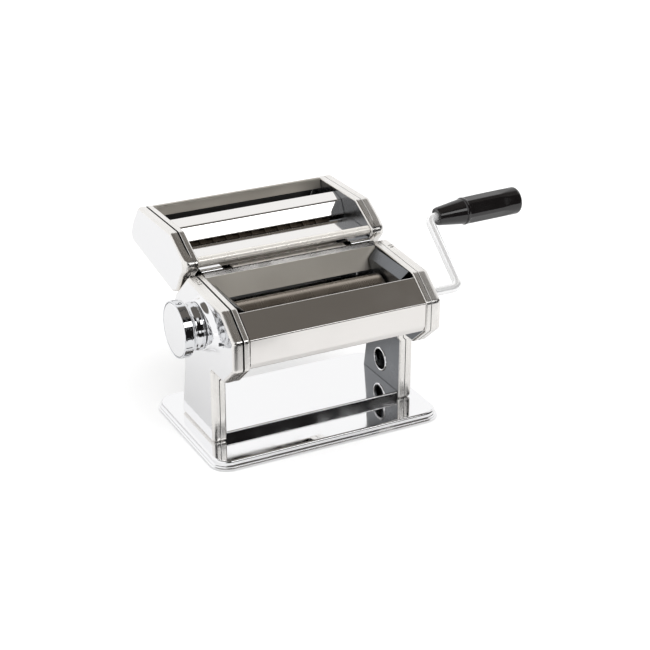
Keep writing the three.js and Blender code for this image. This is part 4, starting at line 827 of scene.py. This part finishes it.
def crank_grip():
    """The grip's radius along its line, less six flats: within a flat the radius is the flat's distance over
    the cosine of the angle from its middle. The flats start at the ridge and run out before the end."""
    line = [[9.4, 4.4, 0.2], [9.4, 6.2, 0.3], [8.4, 6.9, 0.4], [8.6, 8.2, 0.6], [10.6, 8.9, 1.2],
            [37, 12.5, 0.5], [37.9, 13.4, 0.5], [39.3, 13.4, 0.5], [40.3, 13.1, 0.4], [60, 13.3, 9],
            [98.6, 13.4, 4.5], [101, 9.6, 2.4], [101, 4.4, 0.3]]
    profile = rounded(line, arc=6, longest=1.4)
    outside = (profile[:, 1] > 9.0) & (profile[:, 0] > 39.8)
    angle = np.linspace(0, 2 * np.pi, 144, endpoint=False)
    along, radius = profile[:, :1], profile[:, 1:]
    fade = np.clip((along - 40.4) / 1.2, 0, 1) * np.clip((91 - along) / 12, 0, 1)
    off = (angle[None] - math.radians(FLAT_TURN) + np.pi / 6) % (np.pi / 3) - np.pi / 6
    flat = (radius - 0.9 * fade) / np.cos(off)
    cut = np.where(outside[:, None] & (fade > 0), np.minimum(radius, flat), radius)
    side = np.array([0.0, 1.0, 0.0])
    over = np.cross(GRIP_WAY, side)
    spoke = np.cos(angle)[:, None] * side + np.sin(angle)[:, None] * over
    rows = GRIP_START + along[:, :, None] * GRIP_WAY + cut[:, :, None] * spoke[None]
    Piece().grid(np.concatenate([rows, rows[:1]])).make("crank_grip", "grip", PLASTIC, sharp=28)
    rivet = [[101.3, 4.3, 0.1], [101.3, 6, 0.3], [102.4, 6, 0.5], [103.5, 4.6, 0.8], [103.6, 0, 0]]
    rivet = rounded([[103.05, 0, 0], [103.05, 4.3, 0.1], *rivet], closed=False, longest=400)
    Piece().lathe(rivet, GRIP_WAY, GRIP_START, 40).make("grip_rivet", "crank", TURNED)


base_plate()
crosspiece()
feet()
side_frame("frame_right", False)
side_frame("frame_left", True)
cover_right()
cover_left()
front_panel()
hopper_guide()
back_panel()
scrapers()
tie_rods()
rollers()
knob()
knob_spring()
dial_numbers()
crank_rod()
crank_grip()
cutter_side("cutter_frame_right", False)
cutter_side("cutter_frame_left", True)
cutter_cap("cutter_cap_right", False, (WIDE_FRONT, FINE_REAR))
cutter_cap("cutter_cap_left", True, ())
cutter_sheets()
cutting_rolls()
combs()


# ---------------------------------------------------------------- studio
VIEWER = (-0.46, -0.888, 0.0)            # from the object to the viewer, along the floor
DARK_SIDE = (0.46, -0.888, 0.0)          # from the object to the middle of the room's dark part
DARK, OVERHEAD, PAPER = "#1a1919", "#6b6762", "#e3e3e3"
WHITE, EVEN = (1.0, 1.0, 1.0, 1.0), (0.75, 0.75, 0.75, 1.0)
FLOOR_HALF = 12.0
LAMPS = (  # name, place, the way its back faces, width, height, power, seen in shiny surfaces
    ("front_lamp", (0.5, -0.7, 2.3), (0.5, -0.7, 2.2), 2.2, 2.2, 20.0, False),
    ("back_lamp", (-1.2, 0.9, 2.0), (-1.2, 0.9, 1.9), 2.2, 2.2, 12.0, False),
    ("soft_box", (0.26, -0.666, 0.622), (0.0, -1.0, 0.0), 0.52, 0.35, 1.4, True),
)


def soft_step(tree, value, low, high):
    """0 at one value and 1 at the other, eased between; it falls if low is above high."""
    return put(tree, "MapRange", {"interpolation_type": "SMOOTHSTEP"}, Value=value, From_Min=low,
               From_Max=high, To_Min=0.0, To_Max=1.0)["Result"]


def mixed(tree, share, first, second):
    """One colour turning into another."""
    return put(tree, "Mix", {"data_type": "RGBA"}, _0=share, _6=first, _7=second)[2]


def dot(tree, place, way):
    """How far a place lies along a way: their dot product."""
    return put(tree, "VectorMath", {"operation": "DOT_PRODUCT"}, _0=place, _1=way)["Value"]


def room():
    """Shiny surfaces see white paper round about, a dark part of the room to the front right, and grey
    overhead. Matt surfaces see an even grey-white, and the camera plain white."""
    world = bpy.data.worlds.new("studio")
    bpy.context.scene.world = world
    world.use_nodes = True
    tree = world.node_tree
    way = put(tree, "TexCoord")["Generated"]
    high = put(tree, "SeparateXYZ", None, Vector=way)["Z"]
    back = soft_step(tree, dot(tree, way, DARK_SIDE), 0.55, 0.35)
    low = soft_step(tree, high, 0.86, 0.78)
    dark = mixed(tree, low, srgb(OVERHEAD), srgb(DARK))
    seen = mixed(tree, maths(tree, "MULTIPLY", back, low), dark, WHITE)
    path = put(tree, "LightPath")
    plain = maths(tree, "MAXIMUM", path["Is Camera Ray"], path["Is Transmission Ray"])
    seen = mixed(tree, plain, seen, WHITE)
    seen = mixed(tree, path["Is Diffuse Ray"], seen, EVEN)
    shader = tree.nodes["Background"]
    tree.links.new(seen, shader.inputs["Color"])
    shader.inputs["Strength"].default_value = 1.0


def floor():
    """A floor of white paper that glows a little, more so far off, where it passes into the room's white.
    For shiny surfaces it ends in the dark 0.3 m from the object towards the viewer, but for its far left."""
    half = FLOOR_HALF
    sheet = bpy.data.meshes.new("floor")
    sheet.from_pydata([(-half, -half, 0), (half, -half, 0), (half, half, 0), (-half, half, 0)], [],
                      [(0, 1, 2, 3)])
    placed("floor", sheet)
    paper, tree, shader = material("white_paper_sweep")
    tree.nodes.remove(shader)
    matt = put(tree, "BsdfDiffuse", None, Color=srgb(PAPER))[0]
    path = put(tree, "LightPath")
    place = put(tree, "TexCoord")["Object"]
    far = soft_step(tree, put(tree, "VectorMath", {"operation": "LENGTH"}, _0=place)["Value"], 0.5, 1.6)
    direct = maths(tree, "MAXIMUM", path["Is Camera Ray"], path["Is Transmission Ray"])
    seen = maths(tree, "MULTIPLY_ADD", path["Is Glossy Ray"], 0.25, direct)
    glow = maths(tree, "MULTIPLY", seen, maths(tree, "MULTIPLY_ADD", far, 1.0, 0.34))
    lit = put(tree, "Emission", None, Color=WHITE, Strength=glow)[0]
    lit = put(tree, "AddShader", None, _0=matt, _1=lit)[0]
    past = soft_step(tree, dot(tree, place, VIEWER), 0.26, 0.3)
    right = soft_step(tree, put(tree, "SeparateXYZ", None, Vector=place)["X"], -0.33, -0.25)
    past = maths(tree, "MULTIPLY", maths(tree, "MULTIPLY", past, right), path["Is Glossy Ray"])
    dark = put(tree, "Emission", None, Color=srgb(DARK), Strength=1.0)[0]
    shown = put(tree, "MixShader", None, _0=past, _1=lit, _2=dark)[0]
    tree.links.new(shown, tree.nodes["Material Output"].inputs["Surface"])
    sheet.materials.append(paper)


def lamps():
    """Two broad lamps overhead, unseen in shiny surfaces, and a soft box in front that they do see."""
    for name, place, back, wide, tall, power, shown in LAMPS:
        lamp = bpy.data.lights.new(name, "AREA")
        lamp.shape = "RECTANGLE"
        lamp.size = wide
        lamp.size_y = tall
        lamp.energy = power
        stand = placed(name, lamp)
        stand.location = place
        stand.rotation_euler = Vector(back).to_track_quat("Z", "Y").to_euler()
        stand.visible_glossy = shown
        stand.visible_camera = False


def camera():
    """The viewing angle: 27.4 degrees round to the left, 25 degrees down, a long lens."""
    lens = bpy.data.cameras.new("camera")
    lens.sensor_width = 36.0
    lens.lens = 90.81
    eye = placed("camera", lens)
    back = Vector((-0.417, -0.804, 0.423)).normalized()
    flat = Vector(UP).cross(back).normalized()
    up = back.cross(flat)
    roll = math.radians(0.29)
    right = flat * math.cos(roll) + up * math.sin(roll)
    up = back.cross(right)
    turn = Matrix((right, up, back)).transposed()
    eye.matrix_world = Matrix.Translation((-0.5932, -1.1980, 0.7128)) @ turn.to_4x4()
    bpy.context.scene.camera = eye


room()
floor()
lamps()
camera()
bpy.context.scene.view_settings.view_transform = "Standard"
